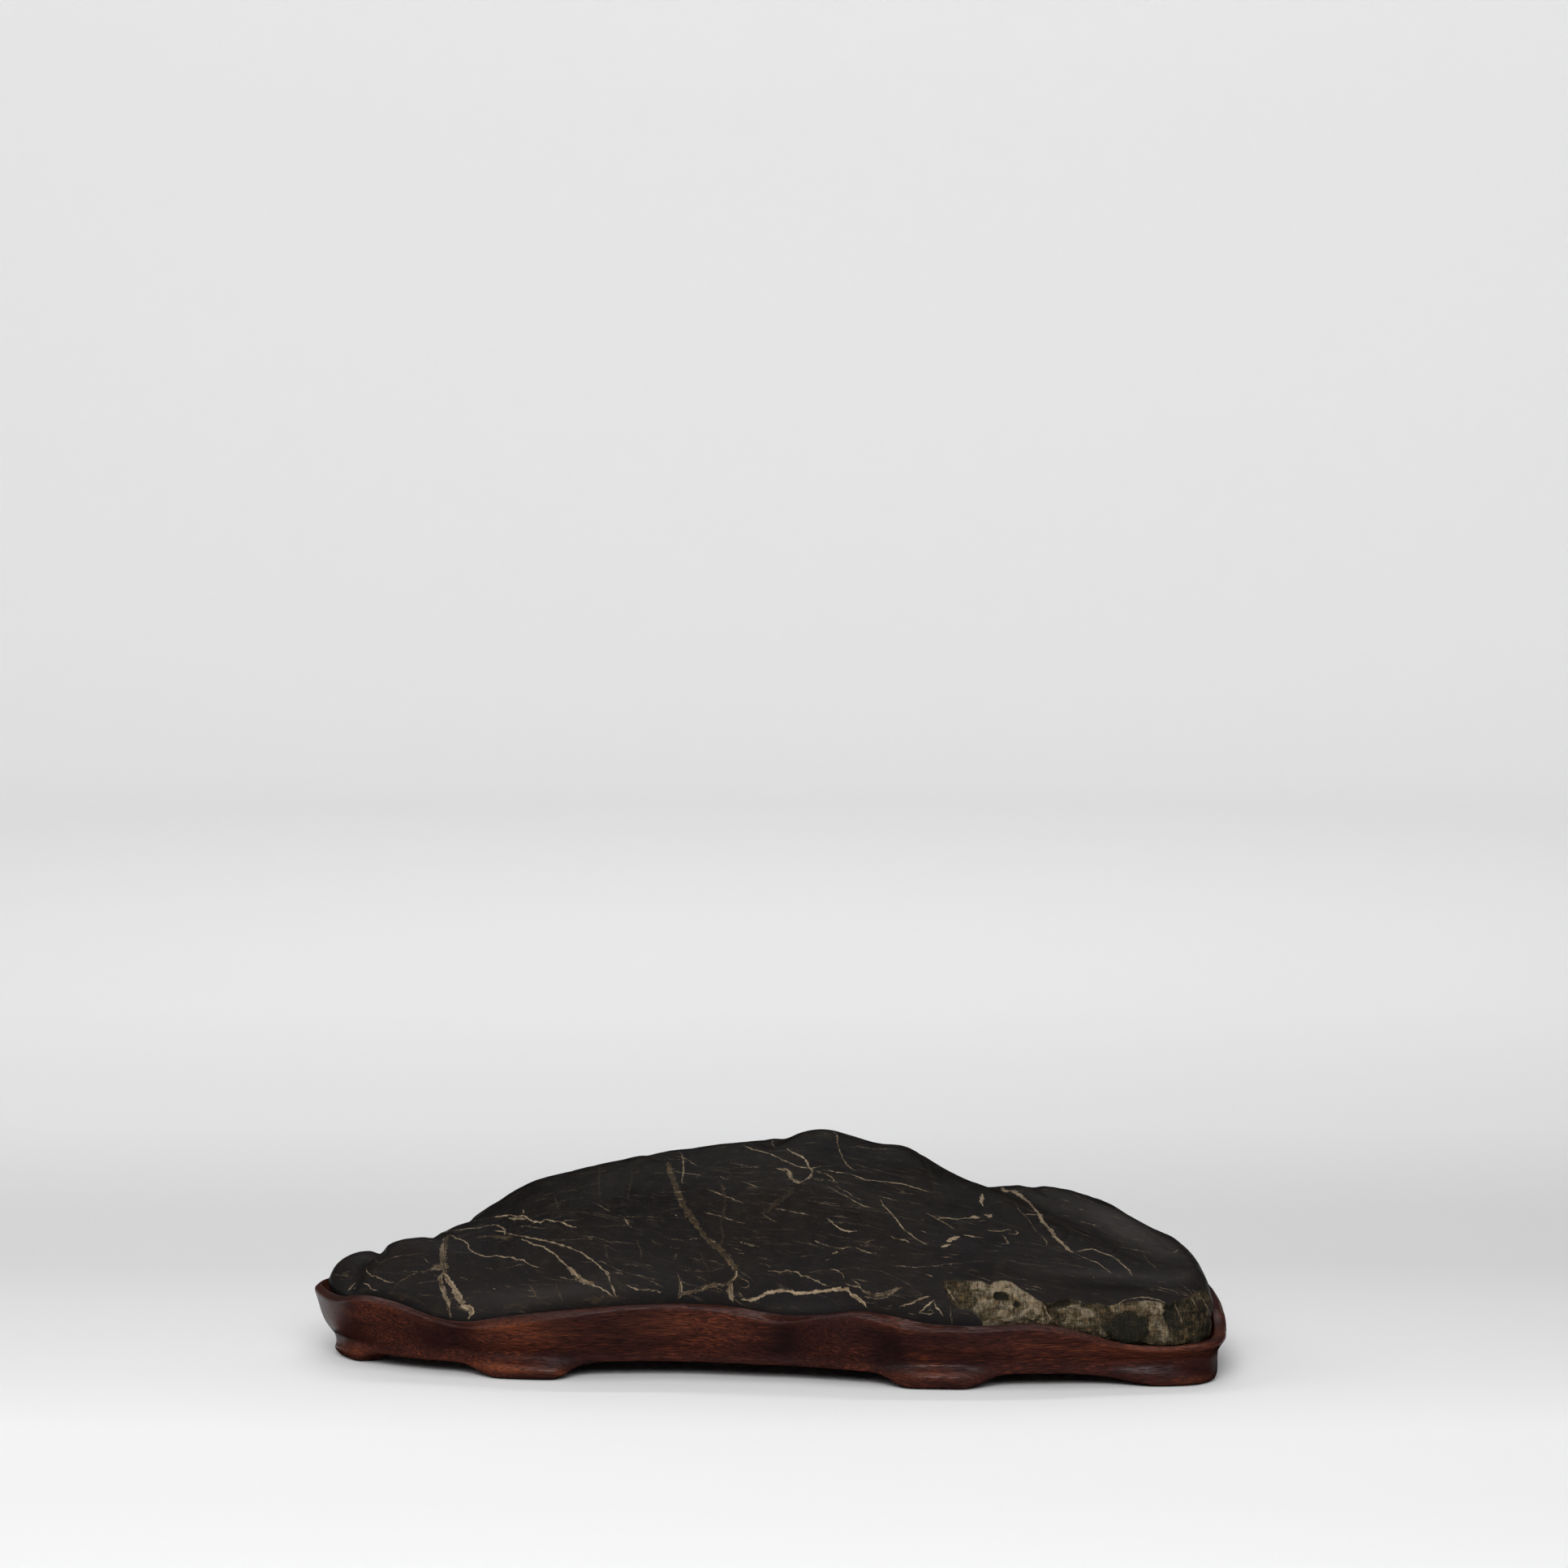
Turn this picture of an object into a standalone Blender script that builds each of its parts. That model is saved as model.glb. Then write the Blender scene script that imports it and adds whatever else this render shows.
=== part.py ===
"""A viewing stone resting in its carved wooden stand.

The stone is one low mountain-shaped piece, about 290 mm long. The stand is carved from one block:
a seat cut to the stone's outline, a thin flared wall with a rounded rim, and seven swollen feet.
X runs along the length, -Y is the front, Z is up, and the feet stand on Z = 0.
"""

import math

import bmesh
import bpy
import numpy as np

MM = 0.001

# ---- Seat line: where the stone meets the inside of the rim, seen from above ----
# Each row is one point of a smooth closed curve, in millimetres, starting at the left tip and
# running along the front: x, y, height of the rim, width of the stone's rounded shoulder there,
# and the gap between stone and wood.
SEAT_LINE = (
    (-147.6, 11.0, 24.0, 11.0, 1.2),
    (-144.5, -2.0, 23.2, 10.0, 1.2),
    (-138.0, -12.0, 23.0, 8.0, 0.6),
    (-131.0, -20.5, 25.4, 13.0, 0.4),
    (-120.0, -27.0, 24.0, 18.0, 0.4),
    (-108.0, -33.0, 20.2, 19.0, 0.4),
    (-98.5, -36.2, 19.2, 19.0, 0.4),
    (-88.0, -39.0, 21.3, 20.0, 0.4),
    (-72.0, -41.5, 23.7, 21.0, 0.4),
    (-50.0, -41.0, 25.5, 22.0, 0.4),
    (-30.0, -40.5, 26.2, 22.0, 0.4),
    (-13.0, -43.0, 25.9, 20.0, 0.6),
    (2.0, -46.0, 23.7, 18.0, 0.9),
    (14.0, -48.5, 23.7, 18.0, 0.6),
    (27.0, -51.5, 26.0, 18.0, 0.6),
    (38.0, -54.0, 24.9, 15.0, 1.2),
    (52.0, -56.0, 22.3, 9.0, 1.5),
    (68.0, -56.0, 21.9, 6.0, 0.7),
    (84.0, -54.0, 22.4, 7.5, 0.4),
    (98.0, -52.5, 19.6, 9.0, 0.4),
    (110.0, -51.5, 15.6, 10.0, 0.4),
    (123.0, -50.5, 14.1, 10.0, 0.4),
    (136.5, -46.5, 14.0, 9.0, 0.6),
    (143.0, -37.0, 14.2, 9.0, 1.2),
    (145.2, -21.0, 15.4, 10.0, 1.5),
    (145.8, -4.0, 17.4, 12.0, 1.4),
    (144.6, 13.0, 19.6, 14.0, 1.0),
    (140.0, 28.0, 21.4, 16.0, 0.6),
    (129.0, 40.0, 22.6, 18.0, 0.4),
    (108.0, 47.5, 23.2, 20.0, 0.4),
    (80.0, 52.0, 24.2, 20.0, 0.4),
    (50.0, 55.0, 23.4, 20.0, 0.4),
    (20.0, 55.5, 22.2, 21.0, 0.5),
    (-10.0, 53.0, 23.8, 21.0, 0.4),
    (-40.0, 50.0, 25.4, 20.0, 0.4),
    (-70.0, 48.5, 23.6, 20.0, 0.4),
    (-98.0, 45.5, 22.2, 18.0, 0.5),
    (-122.0, 39.0, 23.4, 15.0, 0.4),
    (-139.5, 27.0, 23.4, 12.0, 0.6),
)

# ---- Stone: each mass is a crest line with a slope either side ----
# Rows are x, y, height of the crest, slope in front and slope behind.
MAIN_CREST = (
    (-116.0, 16.0, 30.0, 0.45, 0.60),
    (-106.0, 15.0, 38.0, 0.45, 0.60),
    (-97.0, 13.0, 45.0, 0.45, 0.60),
    (-84.0, 10.0, 54.0, 0.46, 0.62),
    (-77.0, 9.0, 57.9, 0.47, 0.63),
    (-69.0, 8.0, 60.0, 0.48, 0.64),
    (-55.0, 6.0, 63.4, 0.50, 0.65),
    (-40.0, 6.0, 66.5, 0.52, 0.66),
    (-22.0, 6.0, 69.0, 0.53, 0.67),
    (-4.0, 6.0, 71.0, 0.55, 0.69),
    (6.0, 6.0, 72.6, 0.56, 0.70),
    (16.0, 6.0, 75.0, 0.58, 0.70),
    (28.0, 5.0, 72.4, 0.58, 0.70),
    (35.0, 4.0, 70.6, 0.59, 0.70),
    (44.0, 3.0, 70.3, 0.60, 0.70),
    (56.0, 0.0, 62.8, 0.60, 0.70),
    (73.0, -5.0, 56.8, 0.60, 0.60),
    (92.0, -11.0, 48.0, 0.55, 0.60),
    (112.0, -16.0, 40.0, 0.50, 0.60),
    (132.0, -18.0, 32.0, 0.45, 0.60),
)
RIGHT_CREST = (
    (52.0, 24.0, 46.0, 0.45, 0.60),
    (70.0, 21.0, 53.0, 0.45, 0.60),
    (84.0, 18.0, 55.0, 0.45, 0.60),
    (94.0, 16.0, 54.0, 0.45, 0.60),
    (106.0, 15.0, 50.2, 0.45, 0.60),
    (119.0, 13.0, 45.0, 0.34, 0.60),
    (131.0, 10.0, 40.0, 0.24, 0.60),
    (142.0, 6.0, 35.6, 0.18, 0.60),
)
MIDDLE_LEFT_CREST = (
    (-116.0, 3.0, 33.0, 0.45, 0.70),
    (-110.0, 2.0, 40.4, 0.45, 0.70),
    (-104.0, 1.0, 44.0, 0.45, 0.70),
    (-97.0, 0.0, 46.4, 0.45, 0.70),
    (-88.0, -1.0, 48.0, 0.45, 0.60),
    (-74.0, -3.0, 48.0, 0.45, 0.50),
)
FRONT_LEFT_CREST = (
    (-137.0, -6.0, 24.0, 0.45, 0.80),
    (-134.0, -6.0, 31.5, 0.45, 0.80),
    (-130.0, -6.0, 34.8, 0.45, 0.80),
    (-124.0, -6.0, 39.2, 0.45, 0.80),
    (-117.0, -6.0, 40.9, 0.45, 0.80),
    (-109.0, -6.0, 41.0, 0.45, 0.80),
    (-97.0, -6.0, 39.0, 0.45, 0.80),
)
REAR_LEFT_CREST = (
    (-145.0, 14.0, 31.6, 0.35, 0.50),
    (-139.0, 14.0, 32.6, 0.35, 0.50),
    (-132.0, 14.0, 33.0, 0.35, 0.50),
    (-122.0, 15.0, 33.0, 0.35, 0.50),
    (-110.0, 18.0, 33.0, 0.35, 0.50),
)
# Each mass with how broad the top of its crest is.
MASSES = (
    (MAIN_CREST, 13.0),
    (RIGHT_CREST, 12.0),
    (MIDDLE_LEFT_CREST, 8.0),
    (FRONT_LEFT_CREST, 8.0),
    (REAR_LEFT_CREST, 9.0),
)
CREST_END_SLOPE = 1.6
BROAD_STEPS = (-20.0, -10.0, 0.0, 10.0, 20.0)  # a crest's ups and downs are averaged over these
FINE_REACH = 18.0  # and fade into that average this far from the crest
MERGE_SOFTNESS = 1.2  # how far two masses blend where they meet

# Shelf above the broken ledge at the front right.
SHELF_FROM_X = 50.0
SHELF_FADE = 14.0
SHELF_FRONT_Y = -52.0
SHELF_DEPTH = 26.0
SHELF_SLOPE = 0.24
SHELF_FALL = 0.8  # slope behind the shelf, under the main mass
# x and height of the shelf's front edge.
SHELF_EDGE = ((50.0, 35.5), (74.0, 35.0), (90.0, 32.0), (110.0, 29.5), (146.0, 28.0))

# Broad swells and hollows of the surface: x, y, radius along x, radius along y, height.
SWELLS = (
    (-94.0, -32.0, 9.0, 20.0, -2.4),
    (-72.0, -28.0, 16.0, 18.0, 1.6),
    (-40.0, -8.0, 18.0, 16.0, 1.0),
    (-20.0, -26.0, 11.0, 22.0, -1.8),
    (8.0, -22.0, 20.0, 20.0, 1.2),
    (44.0, -30.0, 16.0, 14.0, -1.0),
    (-4.0, 32.0, 20.0, 14.0, 2.2),
    (-62.0, 30.0, 18.0, 12.0, -2.2),
    (-96.0, 32.0, 11.0, 10.0, 2.0),
    (-32.0, 36.0, 10.0, 12.0, -2.4),
    (30.0, 34.0, 11.0, 12.0, -2.0),
    (58.0, 38.0, 12.0, 10.0, 2.0),
    (84.0, 36.0, 11.0, 12.0, -2.4),
    (108.0, 32.0, 14.0, 10.0, 1.8),
    (128.0, 20.0, 9.0, 12.0, -1.4),
    (112.0, -34.0, 14.0, 8.0, 0.8),
)

STONE_SPINE_Y = 5.0
STONE_PAIRS = 52  # spaces along the spine between matched front and back stations
STONE_END_STATIONS = 22  # spaces round each end
STONE_ROWS = 14  # rows of faces from the shoulder up to the spine
ROW_CROWDING = 1.5  # packs the rows towards the steep shoulder
SEAT_OVERLAP = 1.4  # how far the stone's upper surface starts below the rim's top
STONE_BASE_Z = 11.2
STONE_BASE_INSET = 3.5

# ---- Stand ----
STATIONS = 132
SPINE_HALF_LENGTH = 108.0  # wall offsets point away from this line
SPINE_Y = 3.0
RIM_THICKNESS = 2.8
RIM_LIP = 0.35  # the lip stands out of the wall by this
WALL_CURVE = 1.4
WALL_THICKNESS = 3.2
RECESS_FLOOR_Z = 10.6
UNDERSIDE_Z = 7.0
WAIST_Z = 8.4
FOOT_DEPTH = 17.0

# The wall at points x, y of the seat line: how far the waist stands inside the rim's outer edge,
# and the height of the skirt's lower edge between feet.
WALL = (
    (-148.0, 11.0, 7.6, 5.0),
    (-131.0, -20.5, 8.6, 4.2),
    (-108.0, -33.0, 8.5, 4.0),
    (-50.0, -41.0, 9.0, 5.4),
    (2.0, -46.0, 8.0, 5.2),
    (30.0, -52.0, 8.0, 4.8),
    (52.0, -56.0, 7.4, 4.8),
    (84.0, -54.0, 6.6, 4.6),
    (110.0, -51.5, 6.2, 4.0),
    (136.5, -46.5, 4.0, 4.4),
    (145.2, -21.0, 3.2, 4.6),
    (129.0, 40.0, 6.0, 5.0),
    (20.0, 55.5, 8.0, 5.2),
    (-70.0, 48.5, 8.5, 5.0),
    (-122.0, 39.0, 8.5, 5.0),
)

# Feet: x, y of a point of the seat line, half the flat length, the length of the rise at each
# side, in the order of the seat line, and how far the foot swells out of the waist.
FEET = (
    (-144.0, -1.0, 9.0, 8.0, 9.0, 0.8),
    (-79.5, -41.0, 10.5, 10.0, 9.0, 3.2),
    (52.5, -56.0, 10.5, 9.0, 10.0, 2.6),
    (136.5, -46.5, 12.5, 27.0, 9.0, 1.2),
    (134.5, 35.0, 10.5, 9.0, 10.0, 2.2),
    (20.0, 55.5, 12.0, 10.0, 10.0, 3.0),
    (-98.0, 45.5, 11.0, 10.0, 10.0, 3.0),
)

# Swells and pinches of the wall: x, y of a point of the seat line, half width, and depth.
WALL_SWELLS = (
    (-131.0, -20.5, 10.0, 1.2),
    (-108.0, -33.0, 10.0, -1.0),
    (-60.0, -41.0, 16.0, 0.8),
    (-20.0, -41.5, 14.0, 0.6),
    (8.0, -47.0, 8.0, -1.6),
    (31.0, -52.5, 9.0, 1.6),
    (56.0, -56.0, 9.0, -1.2),
    (90.0, -53.5, 14.0, 0.8),
    (116.0, -51.0, 9.0, -0.8),
    (-20.0, 52.0, 14.0, 1.2),
    (60.0, 54.0, 12.0, -1.0),
)

STONE_COLOUR = (0.016, 0.015, 0.015, 1.0)
WOOD_COLOUR = (0.052, 0.016, 0.010, 1.0)


# ---- Curves ----


def closed_curve(rows, samples_per_row=24):
    """Points of the smooth closed curve through the rows."""
    rows = np.asarray(rows, float)
    t = np.linspace(0.0, 1.0, samples_per_row, endpoint=False)[:, None]
    pieces = []
    for i in range(len(rows)):
        before, start, end, after = (rows[(i + k) % len(rows)] for k in (-1, 0, 1, 2))
        turn_in = 2.0 * before - 5.0 * start + 4.0 * end - after
        turn_out = 3.0 * start - before - 3.0 * end + after
        curve = 2.0 * start + (end - before) * t + turn_in * t**2 + turn_out * t**3
        pieces.append(0.5 * curve)
    return np.concatenate(pieces)


def smooth_through(rows, x):
    """Every column after the first, read at x from a smooth curve through the rows."""
    rows = np.asarray(rows, float)
    slopes = np.gradient(rows[:, 1:], rows[:, 0], axis=0)
    x = np.clip(x, rows[0, 0], rows[-1, 0])
    i = np.clip(np.searchsorted(rows[:, 0], x, side="right") - 1, 0, len(rows) - 2)
    width = (rows[i + 1, 0] - rows[i, 0])[..., None]
    t = (x[..., None] - rows[i, 0][..., None]) / width
    start, end = rows[i, 1:], rows[i + 1, 1:]
    values = (
        start * (2 * t**3 - 3 * t**2 + 1)
        + slopes[i] * width * (t**3 - 2 * t**2 + t)
        + end * (3 * t**2 - 2 * t**3)
        + slopes[i + 1] * width * (t**3 - t**2)
    )
    return np.moveaxis(values, -1, 0)


def round_trip(value, total):
    """Signed distance along a closed line of this length, brought within half of it."""
    return (value + total / 2.0) % total - total / 2.0


def smooth_step(value):
    value = np.clip(value, 0.0, 1.0)
    return value * value * (3.0 - 2.0 * value)


SEAT = closed_curve(SEAT_LINE)
SEAT_STEPS = np.linalg.norm(np.roll(SEAT, -1, axis=0)[:, :2] - SEAT[:, :2], axis=1)
SEAT_ALONG = np.concatenate([[0.0], np.cumsum(SEAT_STEPS)[:-1]])
SEAT_LENGTH = SEAT_STEPS.sum()


def seat_at(along):
    """x, y, rim height, shoulder and gap at distances along the seat line."""
    columns = [np.interp(along, SEAT_ALONG, SEAT[:, i], period=SEAT_LENGTH) for i in range(5)]
    return np.stack(columns, axis=-1)


def along_of(x, y):
    """Distance along the seat line to its point nearest to x, y."""
    return SEAT_ALONG[np.argmin(np.hypot(SEAT[:, 0] - x, SEAT[:, 1] - y))]


def outward(points):
    """Unit directions, in plan, pointing away from the spine."""
    away = np.array(points[..., :2])
    away[..., 0] -= np.clip(away[..., 0], -SPINE_HALF_LENGTH, SPINE_HALF_LENGTH)
    away[..., 1] -= SPINE_Y
    return away / np.linalg.norm(away, axis=-1, keepdims=True)


def wall_at(along):
    """The waist's inset and the skirt's height at distances along the seat line."""
    places = np.array([along_of(row[0], row[1]) for row in WALL])
    order = np.argsort(places)
    wall = np.array(WALL)[order]
    return [np.interp(along, places[order], wall[:, i], period=SEAT_LENGTH) for i in (2, 3)]


def wall_offset(height, rim, flare):
    """Outward offset of the outer wall from the seat line at a height between waist and rim."""
    share = np.clip((height - WAIST_Z) / (rim - WAIST_Z), 0.0, 1.0)
    return RIM_THICKNESS - flare * (1.0 - share) ** WALL_CURVE


# ---- Stone ----


def mass_height(rows, rounding, x, y):
    """Height of one mass: a rounded crest line falling away in front and behind."""
    crest_y, crest_z, front, behind = smooth_through(rows, x)
    broad_z = np.mean([smooth_through(rows, x + step)[1] for step in BROAD_STEPS], axis=0)
    away = y - crest_y
    slope = np.where(away < 0.0, front, behind)
    drop = slope * (np.hypot(away, rounding) - rounding)
    beyond = np.maximum(rows[0][0] - x, 0.0) + np.maximum(x - rows[-1][0], 0.0)
    fine = (crest_z - broad_z) * np.exp(-((away / FINE_REACH) ** 2))
    return broad_z + fine - drop - CREST_END_SLOPE * beyond


def shelf_height(x, y):
    """Height of the gentle shelf at the front right, and nothing elsewhere."""
    fade = smooth_step((x - SHELF_FROM_X) / SHELF_FADE)
    inward = y - SHELF_FRONT_Y
    rise = SHELF_SLOPE * np.clip(inward, 0.0, SHELF_DEPTH)
    fall = SHELF_FALL * np.maximum(inward - SHELF_DEPTH, 0.0)
    return fade * (smooth_through(SHELF_EDGE, x)[0] + rise - fall)


def body_height(x, y):
    """Height of the stone's body before its shoulder turns down at the seat line."""
    heights = [mass_height(rows, rounding, x, y) for rows, rounding in MASSES]
    heights = np.array(heights + [shelf_height(x, y)])
    top = heights.max(axis=0)
    merged = top + MERGE_SOFTNESS * np.log(np.exp((heights - top) / MERGE_SOFTNESS).sum(axis=0))
    for centre_x, centre_y, radius_x, radius_y, height in SWELLS:
        reach = ((x - centre_x) / radius_x) ** 2 + ((y - centre_y) / radius_y) ** 2
        merged = merged + height * np.exp(-reach)
    return merged


def stone_stations():
    """Distances along the seat line and the spine point that each station's rows run to.

    Stations in front of the spine match those behind it, and fans close its two ends.
    """
    spine_x = np.linspace(-SPINE_HALF_LENGTH, SPINE_HALF_LENGTH, STONE_PAIRS + 1)
    is_long_side = np.abs(SEAT[:, 0]) < SPINE_HALF_LENGTH + 8.0
    front = is_long_side & (SEAT[:, 1] < SPINE_Y)
    back = is_long_side & (SEAT[:, 1] > SPINE_Y)
    front_along = np.interp(spine_x, SEAT[front, 0], SEAT_ALONG[front])
    back_along = np.interp(-spine_x, -SEAT[back, 0], SEAT_ALONG[back])
    right = np.linspace(front_along[-1], back_along[-1], STONE_END_STATIONS + 1)[1:-1]
    left = np.linspace(back_along[0], front_along[0] + SEAT_LENGTH, STONE_END_STATIONS + 1)[1:-1]
    along = np.concatenate([front_along, right, back_along[::-1], left])
    end = np.full(len(right), SPINE_HALF_LENGTH)
    return along, np.concatenate([spine_x, end, spine_x[::-1], -end])


def stone_rings():
    """Closed rings of the stone, from its base up the flank and over to the spine."""
    along, spine_x = stone_stations()
    seat = seat_at(along)
    rim, shoulder, gap = seat[:, 2], seat[:, 3], seat[:, 4]
    flare = wall_at(along)[0]
    seat_z = rim - SEAT_OVERLAP
    rings = []
    for share in (1.0, 0.45):
        height = seat_z + (STONE_BASE_Z - seat_z) * share
        wall = np.minimum(wall_offset(height, rim, flare) - WALL_THICKNESS, 0.0)
        inset = wall - gap - STONE_BASE_INSET * share
        rings.append(np.column_stack([seat[:, :2] + outward(seat) * inset[:, None], height]))
    edge = seat[:, :2] - outward(seat) * gap[:, None]
    spine = np.column_stack([spine_x, np.full_like(spine_x, STONE_SPINE_Y)])
    reach = np.linalg.norm(spine - edge, axis=1)
    for row in range(STONE_ROWS + 1):
        share = (row / STONE_ROWS) ** ROW_CROWDING
        plan = edge + (spine - edge) * share
        turned = np.clip(1.0 - reach * share / shoulder, 0.0, 1.0)
        rise = np.sqrt(1.0 - turned * turned)
        body = body_height(plan[:, 0], plan[:, 1])
        rings.append(np.column_stack([plan, seat_z + (body - seat_z) * rise]))
    return rings


# ---- Stand ----


def feet_at(along):
    """How far each station is on a foot, from 0 to 1, and how far the foot swells out there."""
    share, swell = np.zeros_like(along), np.zeros_like(along)
    for x, y, half, before, after, bulge in FEET:
        away = round_trip(along - along_of(x, y), SEAT_LENGTH)
        rise = np.where(away < 0.0, before, after)
        beyond = (np.abs(away) - half) / rise
        share = np.maximum(share, smooth_step(1.0 - beyond))
        swell = np.maximum(swell, bulge * smooth_step(1.0 - 1.4 * beyond))
    return share, swell


def wall_swell(along):
    swell = np.zeros_like(along)
    for x, y, half, depth in WALL_SWELLS:
        away = round_trip(along - along_of(x, y), SEAT_LENGTH)
        swell += depth * np.exp(-((away / half) ** 2))
    return swell


def stand_stations():
    """Distances along the seat line, packed closer at the feet."""
    fine = np.linspace(0.0, SEAT_LENGTH, 4000)
    density = 1.0 + 0.8 * feet_at(fine)[0]
    count = np.concatenate([[0.0], np.cumsum((density[1:] + density[:-1]) / 2.0)])
    return np.interp(np.linspace(0.0, count[-1], STATIONS, endpoint=False), count, fine)


def stand_rings():
    """Closed rings of the stand, from the middle of its underside out, up, over the rim and in."""
    along = stand_stations()
    seat = seat_at(along)
    rim = seat[:, 2]
    flare, skirt = wall_at(along)
    out = outward(seat)
    swell = wall_swell(along)
    pad, bulge = feet_at(along)

    def ring(offset, height):
        offset = np.broadcast_to(offset, along.shape)
        height = np.broadcast_to(height, along.shape)
        return np.column_stack([seat[:, :2] + out * offset[:, None], height])

    def mixed(between, foot):
        return between + (foot - between) * pad

    waist = RIM_THICKNESS - flare + 0.4 * swell
    face = waist + bulge
    lip = RIM_THICKNESS + swell
    rings = [
        ring(waist - FOOT_DEPTH - 6.0, UNDERSIDE_Z),
        ring(waist - FOOT_DEPTH, UNDERSIDE_Z),
        ring(waist - FOOT_DEPTH + 3.0, mixed(UNDERSIDE_Z, 0.0)),
        ring(mixed(waist - 2.0, face - 1.4), mixed(skirt + 0.3, 0.0)),
        ring(mixed(waist - 0.6, face - 0.3), mixed(skirt, 1.0)),
        ring(mixed(waist - 0.1, face), mixed(skirt + 0.9, 3.0)),
        ring(mixed(waist, waist + 0.6 * bulge), mixed(skirt + 1.9, 5.6)),
        ring(waist, WAIST_Z),
    ]
    for share in (0.22, 0.48, 0.75):
        height = WAIST_Z + (rim - 1.8 - WAIST_Z) * share
        rings.append(ring(wall_offset(height, rim, flare) + swell * (0.4 + 0.6 * share), height))
    rings += [
        ring(lip + RIM_LIP, rim - 1.6),
        ring(lip - 0.5, rim - 0.3),
        ring(1.3, rim),
        ring(0.2, rim - 0.4),
        ring(0.0, rim - 2.6),
    ]
    for share in (0.45, 0.0):
        height = RECESS_FLOOR_Z + share * (rim - RECESS_FLOOR_Z)
        rings.append(ring(wall_offset(height, rim, flare) - WALL_THICKNESS, height))
    return rings


# ---- Objects ----


def plan_centre(rings):
    """Middle of the box round the rings, seen from above."""
    points = np.concatenate(rings)
    middle = (points.min(axis=0) + points.max(axis=0)) / 2.0
    return np.array([middle[0], middle[1], 0.0])


def loft(name, rings, closes_at_top, collection, colour, roughness):
    """A closed solid through rings of equal count, capped at its first ring and at its last.

    Where it closes at the top, the last ring already lies on one line, and its points are merged.
    """
    shape = bmesh.new()
    loops = [[shape.verts.new(point * MM) for point in ring] for ring in rings]
    count = len(loops[0])
    for lower, upper in zip(loops, loops[1:]):
        for i in range(count):
            j = (i + 1) % count
            shape.faces.new((lower[i], lower[j], upper[j], upper[i]))
    shape.faces.new(loops[0])
    if closes_at_top:
        bmesh.ops.remove_doubles(shape, verts=loops[-1], dist=0.01 * MM)
    else:
        shape.faces.new(loops[-1])
    bmesh.ops.recalc_face_normals(shape, faces=shape.faces)
    mesh = bpy.data.meshes.new(name)
    shape.to_mesh(mesh)
    shape.free()
    mesh.materials.append(plain_material(name, colour, roughness))
    mesh.shade_smooth()
    mesh.set_sharp_from_angle(angle=math.radians(40.0))
    made = bpy.data.objects.new(name, mesh)
    collection.objects.link(made)
    return made


def plain_material(name, colour, roughness):
    material = bpy.data.materials.new(name)
    material.use_nodes = True
    shader = material.node_tree.nodes["Principled BSDF"]
    shader.inputs["Base Color"].default_value = colour
    shader.inputs["Roughness"].default_value = roughness
    shader.inputs["Metallic"].default_value = 0.0
    return material


def main():
    for old in list(bpy.data.objects):
        bpy.data.objects.remove(old, do_unlink=True)
    collection = bpy.data.collections.new("viewing_stone_on_stand")
    bpy.context.scene.collection.children.link(collection)
    stand = stand_rings()
    centre = plan_centre(stand)
    stone = [ring - centre for ring in stone_rings()]
    stand = [ring - centre for ring in stand]
    loft("stone", stone, True, collection, STONE_COLOUR, 0.5)
    loft("stand", stand, False, collection, WOOD_COLOUR, 0.38)


main()
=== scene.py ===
"""The looks of a viewing stone resting in its carved wooden stand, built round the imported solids.

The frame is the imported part's own, in metres: X along the length, -Y towards the front, Z up.
Surface work is done in millimetres, on arrays of points, and MM turns it back to metres.
"""

import itertools
import math

import bmesh
import bpy
import numpy as np
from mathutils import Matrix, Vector
from mathutils.bvhtree import BVHTree
from mathutils.kdtree import KDTree


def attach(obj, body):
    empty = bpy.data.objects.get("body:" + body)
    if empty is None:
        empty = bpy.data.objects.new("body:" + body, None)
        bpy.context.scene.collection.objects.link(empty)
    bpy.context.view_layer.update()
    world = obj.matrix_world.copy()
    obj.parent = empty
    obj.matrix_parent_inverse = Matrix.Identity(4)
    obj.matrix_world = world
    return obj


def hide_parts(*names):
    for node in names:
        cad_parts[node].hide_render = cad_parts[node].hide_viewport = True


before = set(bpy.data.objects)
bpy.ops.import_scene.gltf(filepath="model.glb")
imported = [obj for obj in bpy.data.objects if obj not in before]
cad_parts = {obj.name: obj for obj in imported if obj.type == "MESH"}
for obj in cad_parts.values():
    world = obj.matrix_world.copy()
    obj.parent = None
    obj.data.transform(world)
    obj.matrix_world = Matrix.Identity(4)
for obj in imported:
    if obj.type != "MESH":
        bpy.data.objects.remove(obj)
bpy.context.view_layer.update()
MM = 0.001

# ---- Camera: a long lens, slightly above the object ----
LENS = 120.0
SENSOR = 36.0
PICTURE_SIZE = 1932.0  # places in the picture below are counted in its pixels, from the top left
CAMERA_PLACE = (5.15, -1691.9, 337.0)
CAMERA_PITCH = math.radians(5.0)
FOCAL_PIXELS = LENS / SENSOR * PICTURE_SIZE
FORWARD = np.array([0.0, math.cos(CAMERA_PITCH), -math.sin(CAMERA_PITCH)])
UPWARD = np.array([0.0, math.sin(CAMERA_PITCH), math.cos(CAMERA_PITCH)])
PIXEL = 0.2662  # millimetres across one pixel of the picture, at the object

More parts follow.
